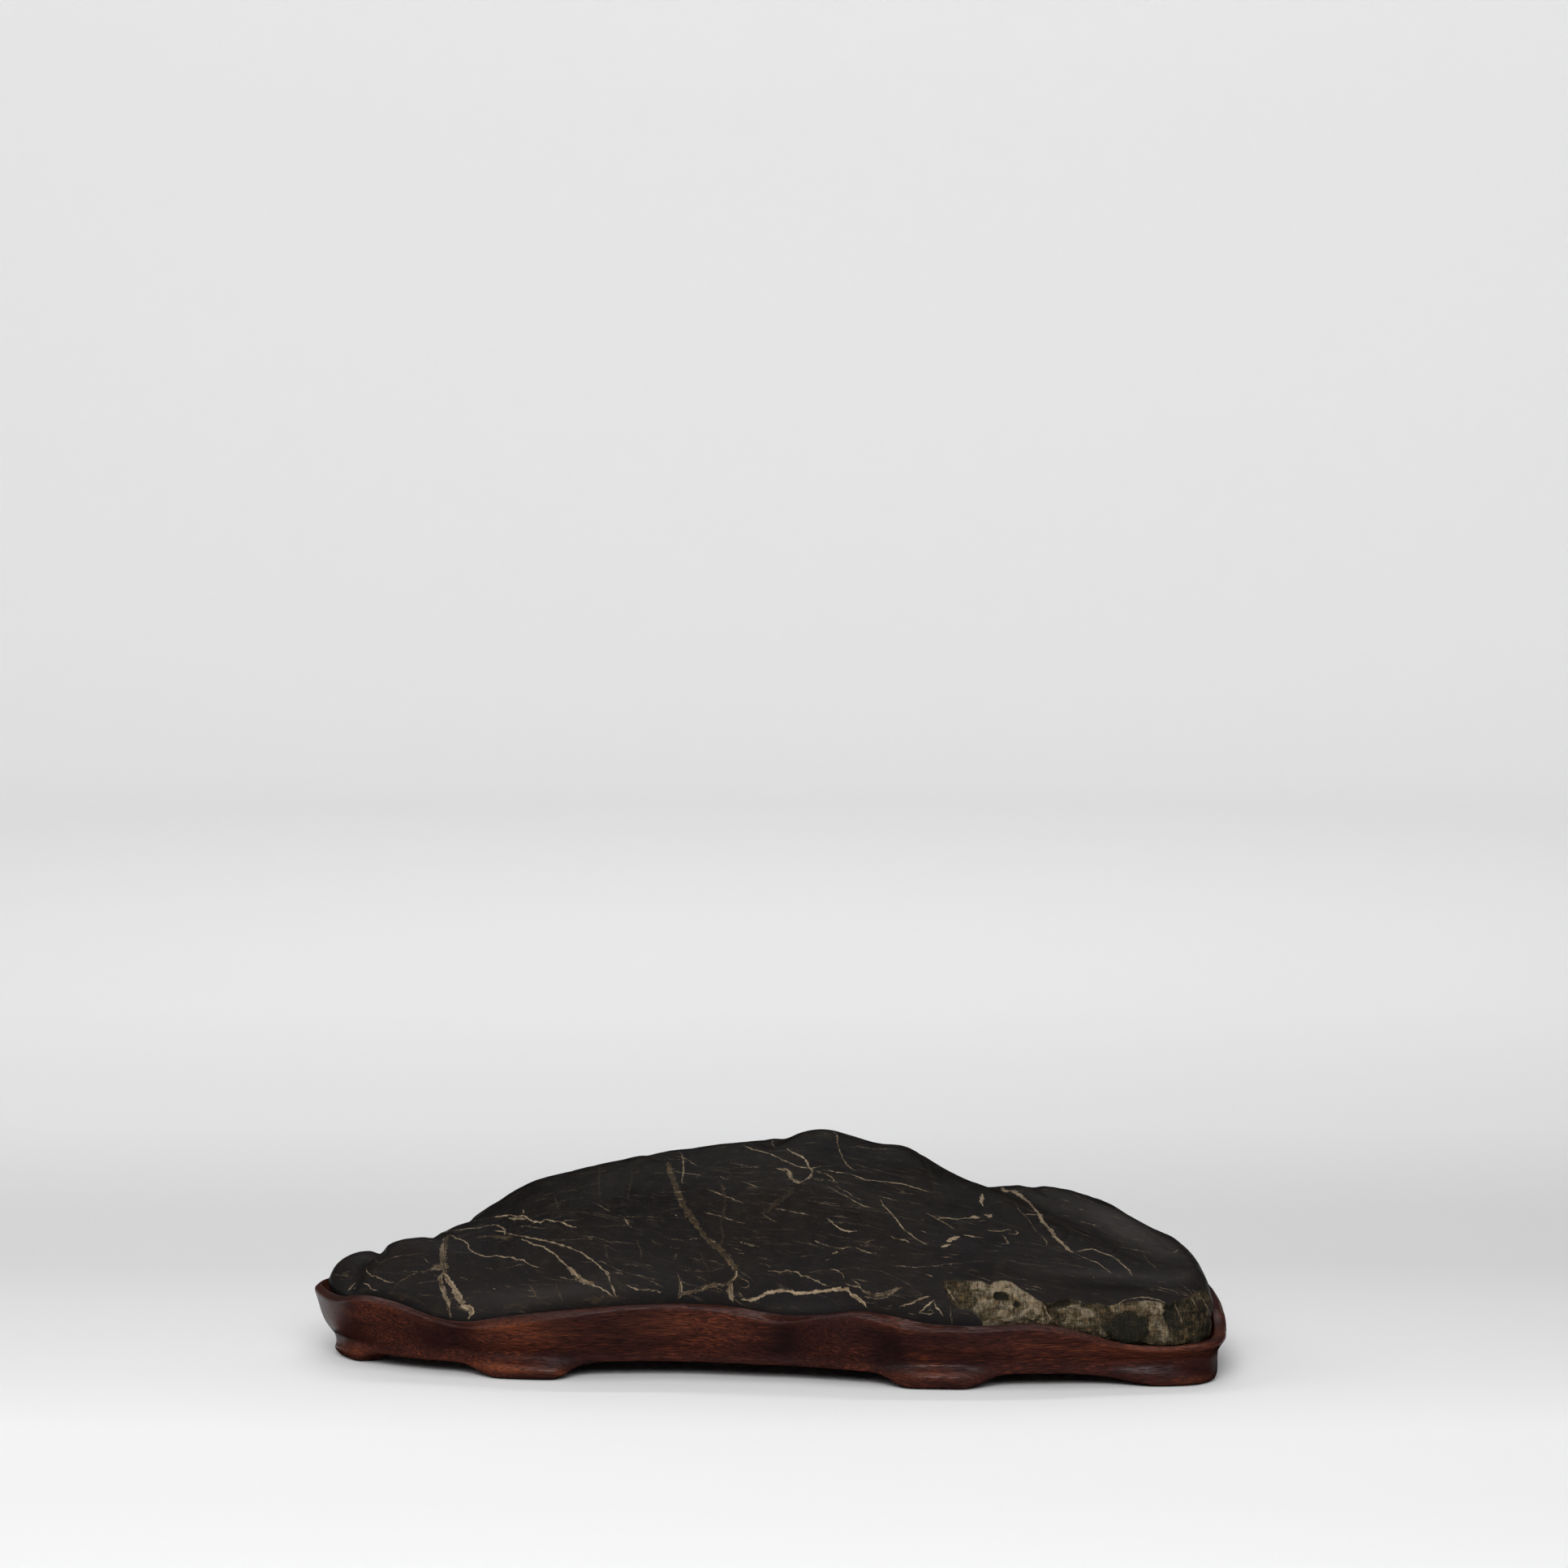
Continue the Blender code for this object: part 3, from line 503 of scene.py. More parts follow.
# Veins that show from the front: half width, tone from cream 0 to olive 1, strength, and then the
# vein's start in the picture, across and down, and the step from each of its points to the next.
VEINS = (
    # The fork at the left.
    (1.25, 0.6, 0.6, 553, 1521, -4, 8, -2.5, 9, -1, 9, 1.5, 9, 1, 7, -1, 7),
    (1.7, 0.6, 0.6, 531, 1565, 7, -4, 10, 3),
    (0.95, 0.5, 0.75, 546, 1568, -3, 7, 1, 8, 3, 8, 3, 8, 2, 8, 2, 8, 2, 8),
    (1.3, 0.3, 0.95, 548, 1570, 7, 11, 4, 6, 4, 8, 4, 8, 6, 6, 8, 4, -1, 5, -3, 6),
    (0.3, 0.6, 0.5, 542, 1560, -7, 3, -12, 3, -10, 2, -8, 4, -9, 5, -7, 5, -4, 9),
    (0.25, 0.3, 0.6, 520, 1548, 6, 6, 9, 5),
    (0.3, 0.3, 0.7, 561, 1607, 5, 4, 5, 2),
    # Arcs over the left shoulder.
    (0.3, 0.15, 0.9, 555, 1521, 6, 4, 10, 3.5, 5, 4.5, 2, 5, 5, 5, 8, 3, 8, 2.5, 7, -1, 7, 0, 8, 2,
     7, -1, 9, 3.5, 9, 1, 6, 5, 7, 2.5, 6, 0.5),
    (0.4, 0.3, 0.75, 535, 1523, 12, -4.5, 14, -2.5, 14, -2, 14, -1, 10, -2.5, 11, -1, 7, 2, 5, 2.5,
     0.5, 3.5, -7.5, -0.5, -7, -1.5),
    (0.4, 0.2, 0.9, 625, 1519, 10, 2.5, 14, 2.5, 12, 2.5, 14, 3, 12, 3.5, 12, 4, 14, 5, 10, 6, 10,
     7, 9, 8, 7, 6, 2, 10, 4, 8, 5, 12),
    (0.3, 0.4, 0.5, 735, 1553, 10, 3, 10, 5, 12, 6),
    (0.25, 0.4, 0.5, 751, 1568.5, 10, -0.5, 11, 5),
    (0.4, 0.25, 0.85, 641, 1525.5, 12, 5.5, 10, 3.5, 8, 2.5, 8, 5, 7, 6, 7, 7, 8, 6.5),
    (1.2, 0.35, 0.9, 700, 1561, 5, 4, 4, 4, 6, 7, 8, 4, 10, 4),
    (0.4, 0.25, 0.85, 732, 1583.5, 9, 4.5, 8, 5, 9, 6),
    (0.8, 0.6, 0.3, 587, 1525, 14, -2, 14, 1, 18, 1),
    # Small veins at the left end.
    (0.3, 0.15, 0.9, 451, 1562, 2, 6, 5, 3.5, 6, 1, 8, 4.5, 9, 3, 5, 0),
    (0.25, 0.15, 0.8, 447, 1581, 6, 2, 6, 6, 8, 2),
    (0.8, 0.3, 0.6, 438, 1580, -3, 3, -3, 4, -3, 3),
    (0.25, 0.4, 0.4, 411, 1570, 11, 1.5, 13, 2.5),
    (0.6, 0.5, 0.4, 427, 1567, 4, 0),
    (0.25, 0.35, 0.45, 461, 1553, 9, 3),
    (0.25, 0.45, 0.4, 464, 1559, 11, -6, 14, -5, 18, -2, 24, 0),
    (0.35, 0.3, 0.6, 495, 1567, 6, -2),
    (0.3, 0.2, 0.7, 567, 1573, 10, 5),
    (0.3, 0.2, 0.7, 598, 1561, 9, 3),
    # The cluster at the top left.
    (0.25, 0.3, 0.45, 575, 1507, 15, -4, 15, -3),
    (0.35, 0.15, 0.95, 605, 1500, 10, -1, 14, -2, 8, 2, 8, -1, 5, 3, 5, 3, 6, 0.5, 5, 2.5, 3, -3,
     4, -1, 10, 1.5, 12, 2.5, 8, 4, 8, 2),
    (0.6, 0.2, 0.8, 627, 1500.5, 10, 1, 12, 0.5),
    (0.6, 0.2, 0.8, 656, 1505, 9, 1),
    (0.3, 0.2, 0.7, 644, 1488, 1, 3, -1, 6),
    (0.25, 0.35, 0.55, 639, 1511, 11, -0.5, 8, 1.5, 5, 1, 12, 0),
    # The long olive vein below the peak.
    (1.15, 1.25, 0.9, 823, 1432, 2, 9, 4, 10, 3, 10, 3, 10, 4, 8, 4, 8, 6, 10, 8, 10, 6, 10, 8, 9,
     7, 7, 10, 8, 8, 8, 6, 8, 5, 8, 1, 6),
    (1.4, 0.3, 0.9, 908, 1567, -1, 5, -3, 5),
    (1.15, 0.5, 0.85, 903, 1576, -3, 4, -1, 5, 1, 8, 3, 10),
    (0.75, 0.75, 0.8, 898, 1579, -8, 3, -12, 1.5, -15, 5.5, -12, 3, -14, 3),
    (0.6, 0.55, 0.8, 835, 1569, 2, 6, 1, 6, 1, 6, -1, 8, -2, 7),
    (0.4, 0.5, 0.5, 833, 1543, 1, 6, -5, 4),
    (0.7, 0.4, 0.5, 831, 1547, 2, 2),
    (0.3, 0.3, 0.7, 912, 1585, 8, 2, 3, -5, -5, -5, -8, -3.5),
    (0.3, 0.3, 0.6, 908, 1589, 4, 5, 4, 3),
    (0.25, 0.15, 0.85, 835, 1418, 5, 4, 2, 9, 0, 10, -1, 10, -0.5, 8),
    (0.25, 0.2, 0.7, 830, 1424.5, 11, 1.5, 8, 4, 10, 7),
    (0.25, 0.2, 0.7, 823, 1441.5, 8, 1.5, 9, 2, 11, 1, 16, 3),
    (0.3, 0.3, 0.6, 833, 1478, 11, -1),
    # Streaks in the middle.
    (0.3, 0.3, 0.6, 735, 1484, 10, 5, 10, 4.5),
    (0.3, 0.25, 0.7, 761, 1496.5, 8, 3.5, 4, 6, 5, 7),
    (0.3, 0.25, 0.7, 801, 1526, 6, 5, 11, 3),
    (0.3, 0.3, 0.6, 781, 1560, 8, 1),
    (0.3, 0.25, 0.75, 771, 1583, 10, 5, 14, 1, 12, 1.5, 12, 2.5),
    (0.3, 0.3, 0.6, 722, 1521, 8, 7),
    (0.5, 0.9, 0.4, 745, 1535, 2, 8, 2, 8, 4, 6),
    (0.4, 0.9, 0.35, 785, 1527, 4, 16, 2, 12),
    (0.4, 0.9, 0.35, 779, 1441, -1, 14, -3, 12, -1, 12),
    (0.4, 0.9, 0.3, 739, 1435, -1, 20, 1, 20),
    (0.4, 0.9, 0.35, 863, 1543, 4, 10, 6, 14, 1, 10),
    (0.3, 0.3, 0.55, 843, 1528, 18, -2),
    (0.35, 0.8, 0.35, 684, 1475, 5, 16),
    (0.4, 0.7, 0.4, 684, 1579, 3, 10, 4, 8, 4, 8),
    (0.4, 0.7, 0.4, 652, 1581, 5, 10, 6, 10),
    # The vein and its bowl at the top.
    (0.35, 0.15, 0.85, 915, 1411, 9, 4, 12, 3.5, 14, 3.5, 8, 4, 8, 4, 12, 5, 10, 3.5, 10, 1, 8, -1,
     6, -1.5),
    (0.42, 0.2, 0.85, 969, 1414, 5, 5, 8, 3, 6, 3, 5, 5, 3, 6, 4, 6, 0, 5, -5, 5, -5, 3),
    (0.8, 0.4, 0.75, 991, 1455, -7, 2, -6, -3, -4, -5, -2, -5, -6, -3, -10, -1),
    (0.3, 0.3, 0.7, 952, 1403, -1, 6, 3, 4, 6, 0),
    # Below the right peak.
    (0.28, 0.15, 0.85, 1027, 1394, 4, 5, 1, 6, 1, 8, 3, 8, 3, 7, 5, 7, 6, 6, 4, 2),
    (0.25, 0.3, 0.6, 1024, 1424.5, 13, 1.5),
    (0.25, 0.3, 0.6, 1045, 1412.5, 11, 2.5),
    (0.25, 0.25, 0.65, 1052, 1411, 16, 3.5, 14, 1.5, 14, -0.5, 11, 2),
    (0.33, 0.12, 0.95, 1017, 1441.5, 9, 2, 10, 1, 12, 2.5, 10, 3, 7, 3, 15, 2, 20, 2, 15, 2.5, 15,
     4.5, 10, 3.5, 8, 2.5),
    (0.3, 0.25, 0.7, 1000, 1442, 10, 2, 9, 3, 6, 4, 3, 5, 6, 1),
    (0.25, 0.3, 0.6, 1001, 1452.5, 9, 1.5, 12, 0, 6, 4),
    (0.3, 0.25, 0.7, 1017, 1461, 7, 3, 6, 4, 8, 4, 10, 5, 9, 5.5, 9, 3.5, 11, 3),
    (0.25, 0.25, 0.65, 1028, 1460, 8, 5, 8, 3, 6, 5, 12, 7),
    (0.25, 0.25, 0.6, 1080, 1473, 17, 4.5, 14, 4.5),
    (0.3, 0.3, 0.6, 954, 1489, 12, 2, 14, 3, 20, 3),
    (1.1, 0.95, 0.35, 938, 1495, 10, -6, 10, -8, 12, -8, 8, -10),
    (0.35, 0.15, 0.85, 1018, 1500, 6, 5, 6, 5, 10, 6, 10, 1, 6, 0),
    (0.25, 0.25, 0.65, 1025, 1498.5, 11, 1, 10, 1),
    (0.3, 0.3, 0.6, 940, 1497, 10, 6, 10, 5),
    (0.3, 0.3, 0.6, 886, 1447, 6, 5, 11, 1.5),
    (0.25, 0.3, 0.55, 898, 1432, 13, 3, 12, 2.5, 15, 1),
    (0.25, 0.3, 0.55, 912, 1455, 12, 4, 12, 4.5),
    (0.3, 0.3, 0.6, 870, 1465, 18, 6, 8, 4, 6, 2, 16, 6),
    (0.25, 0.3, 0.55, 865, 1493, 23, 6, 14, 4, 16, 5),
    (0.3, 0.3, 0.55, 890, 1461, 5, 7),
    (0.5, 0.9, 0.35, 889, 1457, 3, 14, 2, 14, -5, 20, 2, 20, -3, 10),
    (0.3, 0.25, 0.65, 908, 1530, 12, 3, 16, 3),
    (0.3, 0.3, 0.6, 908, 1543, 10, 2),
    (0.3, 0.25, 0.7, 1003, 1529, 11, 4, 8, 3, 14, 2, 12, -2),
    (0.3, 0.25, 0.65, 1054, 1538, 8, 2, 8, 3, 12, 1.5),
    (0.25, 0.3, 0.6, 1061, 1530, 7, 0.5, 10, -3.5),
    (0.9, 0.25, 0.95, 1026, 1544, 7, -1),
    (0.4, 0.3, 0.7, 1017, 1552, 6, 0),
    (0.3, 0.3, 0.6, 934, 1558, 6, -1, 10, 4),
    (0.35, 0.25, 0.7, 945, 1566, 13, 1, 12, -1, 12, 2, 6, 4, 10, 2, 8, 4, 8, 4, 10, 3),
    (0.3, 0.3, 0.65, 1020, 1563, 10, 2, 7, 4, 3, 8),
    (0.3, 0.3, 0.6, 1048, 1575, 7, 5, 5, 5),
    (0.3, 0.25, 0.7, 1040, 1582, 8, 2, 10, 2, 5, 4),
    # The white vein above the rim, with the brush of tan to its right.
    (0.68, 0.1, 1, 913, 1602, 13, -1, 10, -4, 10, -4, 10, -2, 14, 0, 10, 2.5, 14, -0.5, 14, -2, 14,
     -1, 12, -1.5, 9, 0, 5, 4.5, 6, 5, 6, 4, 6, 5, 1, 4),
    (0.8, 0.5, 0.5, 1062, 1590, 10, 4, 8, 1.5, 16, -3, 16, -7),
    (0.8, 0.5, 0.45, 1066, 1598, 12, 1, 12, -2, 14, -7),
    # The three-sided figure above the rim.
    (0.4, 0.2, 0.85, 1108, 1610, 7, -2, 12, -4, 8, -4, 12, -2.5),
    (0.3, 0.3, 0.7, 1128, 1597, 5, 5.5),
    (0.42, 0.15, 0.95, 1132, 1618, 8, -7, 7, -6, 5, -2.5),
    (0.42, 0.15, 0.95, 1152, 1602.5, 1, 5.5, 4, 7, 6, 7),
    (0.35, 0.2, 0.85, 1132, 1618, 11, 1, 10, -1),
    (0.3, 0.3, 0.7, 1142, 1615, 6, -1, 2, 4),
    (0.3, 0.3, 0.6, 1118, 1618, 12, 2),
    (0.3, 0.3, 0.6, 1093, 1610, 7, -2),
    # Right of the middle.
    (0.38, 0.2, 0.85, 1085, 1478, 5, 9, 7, 6, 5, 7, 6, 7, 4, 6, 6, 5, 9, 7, 8, 5, 8, 4),
    (0.7, 0.2, 0.9, 1109, 1509, 4, 5),
    (0.3, 0.2, 0.8, 1140, 1494, 7, 3.5, 8, 4.5, 7, 4, 6, 3, 10, 7),
    (0.3, 0.25, 0.75, 1153, 1501, 14, 0, 13, 1, 10, -1, 10, -1),
    (1.15, 0.15, 1, 1195, 1500.5, 6, -1, 6, 1),
    (1.05, 0.2, 0.95, 1213, 1497, 5, 1.5, 4, -2),
    (0.25, 0.3, 0.5, 1195, 1505, 22, -1),
    (0.75, 0.15, 0.95, 1210.5, 1471, 0, 5, -1.5, 6, 3, 4),
    (0.32, 0.15, 0.85, 1214, 1515, 6, 1, 12, 1, 8, -2, 7, 1),
    (0.3, 0.2, 0.8, 1242, 1520, 8, 1, 5, -2, -5, -3),
    (0.3, 0.2, 0.8, 1232, 1521, 5.5, 3, 2.5, 4, 2.5, 3.5, -9.5, 1.5),
    (1.25, 0.12, 1, 1167, 1529.5, 8, -3, 7, -2.5),
    (1.1, 0.15, 1, 1160, 1536, 6, -1, 5, -1),
    (0.45, 0.2, 0.9, 1187, 1522, 8, 1, 7, 1, 10, 1),
    (0.3, 0.25, 0.7, 1097.5, 1523, 9.5, 4, 8, 0.5, 7, 4.5),
    (0.3, 0.3, 0.65, 1133, 1516, 12, 4),
    (0.3, 0.3, 0.6, 1223, 1540, 10, 2),
    (0.3, 0.3, 0.6, 1168, 1545, 15, 1),
    (0.3, 0.3, 0.55, 1157, 1547.5, 10, 1.5, 6, 0),
    (0.3, 0.3, 0.6, 1140, 1571, 10, 1.5),
    # The thick vein on the right slope and its branches.
    (0.95, 0.35, 0.9, 1233, 1463, 7, 5, 6, -1, 8, 4, 8, 6, 8, 7, 8, 9, 4, 7, 4, 7, 7, 6, 5, 8, 6,
     7, 8, 7, 6, 6, 6, 3),
    (0.3, 0.2, 0.8, 1261, 1496.5, 12, 0, 13, -0.5),
    (0.3, 0.2, 0.8, 1293, 1510, 12, 4),
    (0.3, 0.2, 0.8, 1304, 1531, 12, 0.5),
    (0.32, 0.2, 0.85, 1324, 1544, 8, 4, 12, 5, 10, 4, 8, 6, 9, 7),
    (0.3, 0.25, 0.8, 1374, 1571, 11, 4),
    (0.45, 0.25, 0.85, 1324, 1542, 12, -2, 11, -1, 9, 4, 12, 4, 8, 5, 8, 7, 7, 6, 4, 7),
    (0.35, 0.8, 0.6, 1250, 1483, 8, 10, 10, 10, 8, 14, 6, 5, 7, 7, 0, 6),
    # Streaks at the right end.
    (0.28, 0.25, 0.7, 1304, 1476, 16, 6),
    (0.28, 0.25, 0.7, 1328, 1489, 8, 2),
    (0.28, 0.25, 0.6, 1308, 1497, 12, 2),
    (0.3, 0.25, 0.7, 1328, 1505, 12, 2, 15, 4),
    (0.28, 0.3, 0.6, 1331, 1521, 13, 1),
    (0.28, 0.3, 0.6, 1392, 1525, 18, 4),
    (0.28, 0.3, 0.6, 1395, 1540, 10, 0),
    (0.3, 0.25, 0.7, 1438, 1540, 10, 3, 4, -4),
    (0.28, 0.4, 0.45, 1408, 1545, 8, 10, 12, 11),
    (0.28, 0.3, 0.55, 1425, 1579, 13, 1),
    # Brown skin beside the rim.
    (1.3, 0.95, 0.2, 478, 1592, 22, 6, 22, 8),
    (1.2, 0.95, 0.2, 620, 1609, 20, -2, 22, -2),
    (1.2, 0.95, 0.25, 720, 1603, 25, -2, 25, -1),
    # Pale edges on the broken ledge.
    (0.25, 0.1, 0.8, 1165, 1583, 5, 11, 10, 12),
    (0.22, 0.1, 0.7, 1197, 1580, 7, 12, 2, 14, 8, 12),
    (0.25, 0.05, 0.8, 1283, 1604, 7, 12, 8, 14),
    (0.25, 0.1, 0.8, 1297, 1612, 15, 1, 14, 3),
    (0.22, 0.1, 0.8, 1370, 1612, 14, -9, 21, -4.5, 20, 2.5, 12, 5),
    (0.2, 0.1, 0.7, 1372, 1617, 18, -7, 22, -1.5, 22, 2.5),
    (0.22, 0.1, 0.85, 1468, 1588, 10, 8, 9, 14, 7, 18),
    (0.25, 0.15, 0.8, 1447, 1606, 5, 12, 5, 14),
    (0.2, 0.2, 0.7, 1462, 1593, 10, 13, 8, 16),
    (0.2, 0.2, 0.7, 1425, 1640, 10, -2, 6, -4),
)  # fmt: skip

# Small flecks on the front: places in the picture, and half width, tone and strength of them all.
FLECKS = (
    (622, 1588.5), (608.5, 1588.5), (437, 1587), (752, 1478), (675, 1457), (833, 1497),
    (814, 1513), (826, 1537), (765, 1587.5), (1037, 1409.5), (1137, 1503), (1265, 1547.5),
    (1410, 1569), (1441, 1569), (1348, 1574), (1452, 1594),
)  # fmt: skip
FLECK_LOOK = (0.42, 0.2, 0.75)

# Veins that run from the ridge down the back: half width, tone, strength, start on the plan,
# heading in degrees from the right towards the back, and length.
BACK_VEINS = (
    (0.90, 0.35, 0.85, (-112.0, 22.0), 95.0, 50.0),
    (0.40, 0.20, 0.85, (-88.0, 26.0), 60.0, 50.0),
    (0.35, 0.20, 0.80, (-86.0, 26.0), 38.0, 60.0),
    (1.10, 0.85, 0.80, (-40.0, 28.0), 76.0, 80.0),
    (0.40, 0.15, 0.85, (-36.0, 32.0), 52.0, 40.0),
    (0.35, 0.20, 0.80, (-2.0, 30.0), 112.0, 45.0),
    (0.45, 0.20, 0.85, (14.0, 30.0), 66.0, 70.0),
    (0.80, 0.30, 0.85, (52.0, 28.0), 100.0, 60.0),
    (0.38, 0.20, 0.80, (56.0, 30.0), 78.0, 45.0),
    (0.55, 0.60, 0.70, (92.0, 20.0), 84.0, 55.0),
    (0.35, 0.15, 0.85, (104.0, 16.0), 62.0, 40.0),
)
BACK_STREAKS = 70
BACK_ABOVE = 26.0  # streaks of the back start above this height
HAIRLINES = 900
HAIRLINE_SLOPE = -0.25
HAIRLINES_ABOVE = 18.0
VEIN_SEED = 7
VEIN_TURN = 0.004  # how much a vein of the back, or a hairline, turns at each step
STREAK_WANDER = 0.006
VEIN_LAYERS = 9
VEIN_STEP = 0.4  # between the points of a laid vein
VEIN_SWELL = 1.4  # room for the material to widen a vein, as a factor
VEIN_CLAIM = 1.25  # how far past that a vein is stored, where the mesh is finest
COARSE_CLAIM = 0.6  # how much further, where the mesh is coarser
VEIN_GUARD = 0.8  # how far past that it keeps others of its layer away
VEIN_TAPER = 2.5  # a vein narrows over half this length at each end
VEIN_TIP = 0.35  # the share of its width that is left at its tip
THREAD_LENGTH = 3.5  # size of the threads in a vein, along and across it
THREAD_WIDTH = 0.45
NO_VEIN = (9.0, -9.0, 0.0, 0.0)  # what the mesh's points store where no vein is near


def smooth_places(places, step):
    """Points close together on the smooth curve through places."""
    places = np.asarray(places, float)
    padded = np.vstack([2 * places[0] - places[1], places, 2 * places[-1] - places[-2]])
    curve = []
    for before, start, end, after in zip(padded, padded[1:], padded[2:], padded[3:]):
        count = max(2, int(np.linalg.norm(end - start) / step))
        t = np.arange(count)[:, None] / count
        curve.append(
            0.5
            * (
                2 * start
                + (end - before) * t
                + (2 * before - 5 * start + 4 * end - after) * t**2
                + (3 * start - before - 3 * end + after) * t**3
            )
        )
    curve.append(places[-1:])
    return np.vstack(curve)


def lay_from_front(tree, places):
    """Points and normals where the smooth curve through places meets the surface."""
    points, normals = [], []
    origin = Vector(CAMERA_PLACE) * MM
    for place in smooth_places(places, VEIN_STEP / PIXEL):
        hit, normal = tree.ray_cast(origin, direction_through(place))[:2]
        if hit is not None:
            points.append(np.array(hit) / MM)
            normals.append(np.array(normal))
    return np.array(points), np.array(normals)


def wander(tree, start, heading, length, turn, random):
    """Points and normals of a path that keeps to its heading but for slow random turns."""
    place, heading = Vector(start) * MM, Vector(heading).normalized()
    points, normals = [], []
    bend = 0.0
    for _ in range(max(3, int(length / VEIN_STEP))):
        hit, normal = tree.find_nearest(place)[:2]
        points.append(np.array(hit) / MM)
        normals.append(np.array(normal))
        heading = (heading - normal * heading.dot(normal)).normalized()
        bend = 0.9 * bend + turn * random.normal()
        heading += normal.cross(heading) * bend
        heading.normalize()
        place = hit + heading * (VEIN_STEP * MM)
    return np.array(points), np.array(normals)


class VeinLayers:
    """Veins stored on a mesh's points, in layers where no vein comes near another.

    Each point has its distance to one side of the vein, the vein's half width there, which is
    negative past its ends, its tone and its strength.
    """

    def __init__(self, mesh):
        self.points, self.normals = points_of(mesh), normals_of(mesh)
        finest = finely_shown(self.points, self.normals)
        self.claim = np.where(finest, VEIN_CLAIM, VEIN_CLAIM + COARSE_CLAIM)
        self.order = np.argsort(self.points[:, 0])
        self.along = self.points[self.order, 0]
        count = len(self.points)
        self.layers = [np.tile(np.array(NO_VEIN), (count, 1)) for _ in range(VEIN_LAYERS)]
        self.taken = np.zeros((VEIN_LAYERS, count), bool)

    def near(self, points, reach):
        """The mesh's points in a box round a path."""
        low, high = points.min(axis=0) - reach, points.max(axis=0) + reach
        first, last = np.searchsorted(self.along, (low[0], high[0]))
        found = self.order[first:last]
        inside = (self.points[found] > low) & (self.points[found] < high)
        return found[inside.all(axis=1)]

    def add(self, points, normals, half_width, tone, strength):
        """Stores a vein along a path in the first layer with room for it, if any has."""
        if len(points) < 3:
            return
        widest = VEIN_SWELL * half_width
        found = self.near(points, widest + VEIN_CLAIM + COARSE_CLAIM + VEIN_GUARD)
        nearest = np.full(len(found), np.inf)
        side, share, past = np.zeros((3, len(found)))
        where = self.points[found]
        tangents = points[1:] - points[:-1]
        lengths = np.maximum(np.linalg.norm(tangents, axis=1), 1e-6)
        total = lengths.sum()
        walked = np.concatenate([[0.0], np.cumsum(lengths)])
        for i in range(len(tangents)):
            offset = where - points[i]
            tangent = tangents[i] / lengths[i]
            run = offset @ tangent
            kept = np.clip(run, 0.0, lengths[i])
            away = offset - kept[:, None] * tangent
            distance = np.linalg.norm(away, axis=1)
            closer = (distance < nearest) & (self.normals[found] @ normals[i] > 0.1)
            nearest[closer] = distance[closer]
            across = np.cross(normals[i], tangent)
            side[closer] = (offset @ across)[closer]
            share[closer] = ((walked[i] + kept) / total)[closer]
            at_end = i in (0, len(tangents) - 1)
            past[closer] = np.abs(run - kept)[closer] if at_end else 0.0
        claim = widest + self.claim[found]
        claimed, guarded = nearest < claim, nearest < claim + VEIN_GUARD
        for layer, taken in zip(self.layers, self.taken):
            if not taken[found[guarded]].any():
                break
        else:
            return
        from_end = np.minimum(share, 1.0 - share) * total
        taper = np.minimum(1.0, VEIN_TIP + (1.0 - VEIN_TIP) * from_end / VEIN_TAPER)
        chosen = found[claimed]
        layer[chosen, 0] = side[claimed]
        layer[chosen, 1] = (half_width * taper - past)[claimed]
        layer[chosen, 2:] = tone, strength
        taken[chosen] = True


def lay_veins(stone):
    """Lays the veins of the front, the flecks, the veins and streaks of the back, and hairlines."""
    tree = surface_tree(stone.data)
    layers = VeinLayers(stone.data)
    random = np.random.default_rng(VEIN_SEED)
    for half_width, tone, strength, *steps in VEINS:
        places = np.cumsum(np.reshape(steps, (-1, 2)), axis=0)
        layers.add(*lay_from_front(tree, places), half_width, tone, strength)
    for x, y in FLECKS:
        layers.add(*lay_from_front(tree, ((x - 1.5, y - 0.5), (x + 1.5, y + 0.5))), *FLECK_LOOK)
    for half_width, tone, strength, plan, bearing, length in BACK_VEINS:
        top = tree.ray_cast(Vector((*plan, 200.0)) * MM, Vector((0.0, 0.0, -1.0)))[0]
        bearing = math.radians(bearing)
        heading = (math.cos(bearing), math.sin(bearing), 0.0)
        path = wander(tree, np.array(top) / MM, heading, length, VEIN_TURN, random)
        layers.add(*path, half_width, tone, strength)
    points, normals = layers.points, layers.normals
    back = np.nonzero((normals @ FORWARD > FACES_AWAY) & (points[:, 2] > BACK_ABOVE))[0]
    for _ in range(BACK_STREAKS):
        start = points[back[random.integers(len(back))]]
        heading = (1.0, 0.1 * random.normal(), 0.25 * random.normal())
        look = (random.uniform(0.25, 0.4), random.uniform(0.1, 0.4), random.uniform(0.5, 0.85))
        length = 3.0 + 4.0 * random.gamma(1.5)
        layers.add(*wander(tree, start, heading, length, STREAK_WANDER, random), *look)
    open_skin = np.nonzero(points[:, 2] > HAIRLINES_ABOVE)[0]
    for _ in range(HAIRLINES):
        start = points[open_skin[random.integers(len(open_skin))]]
        slope = HAIRLINE_SLOPE + 0.12 * random.normal()
        heading = (1.0, 0.1 * random.normal(), slope)
        length = 2.0 + 5.0 * random.gamma(1.3)
        look = (random.uniform(0.14, 0.26), random.uniform(0.2, 0.6), random.uniform(0.08, 0.42))
        layers.add(*wander(tree, start, heading, length, VEIN_TURN, random), *look)
    for i, layer in enumerate(layers.layers):
        set_attribute(stone.data, f"vein_{i}", layer)


# ---- Materials ----


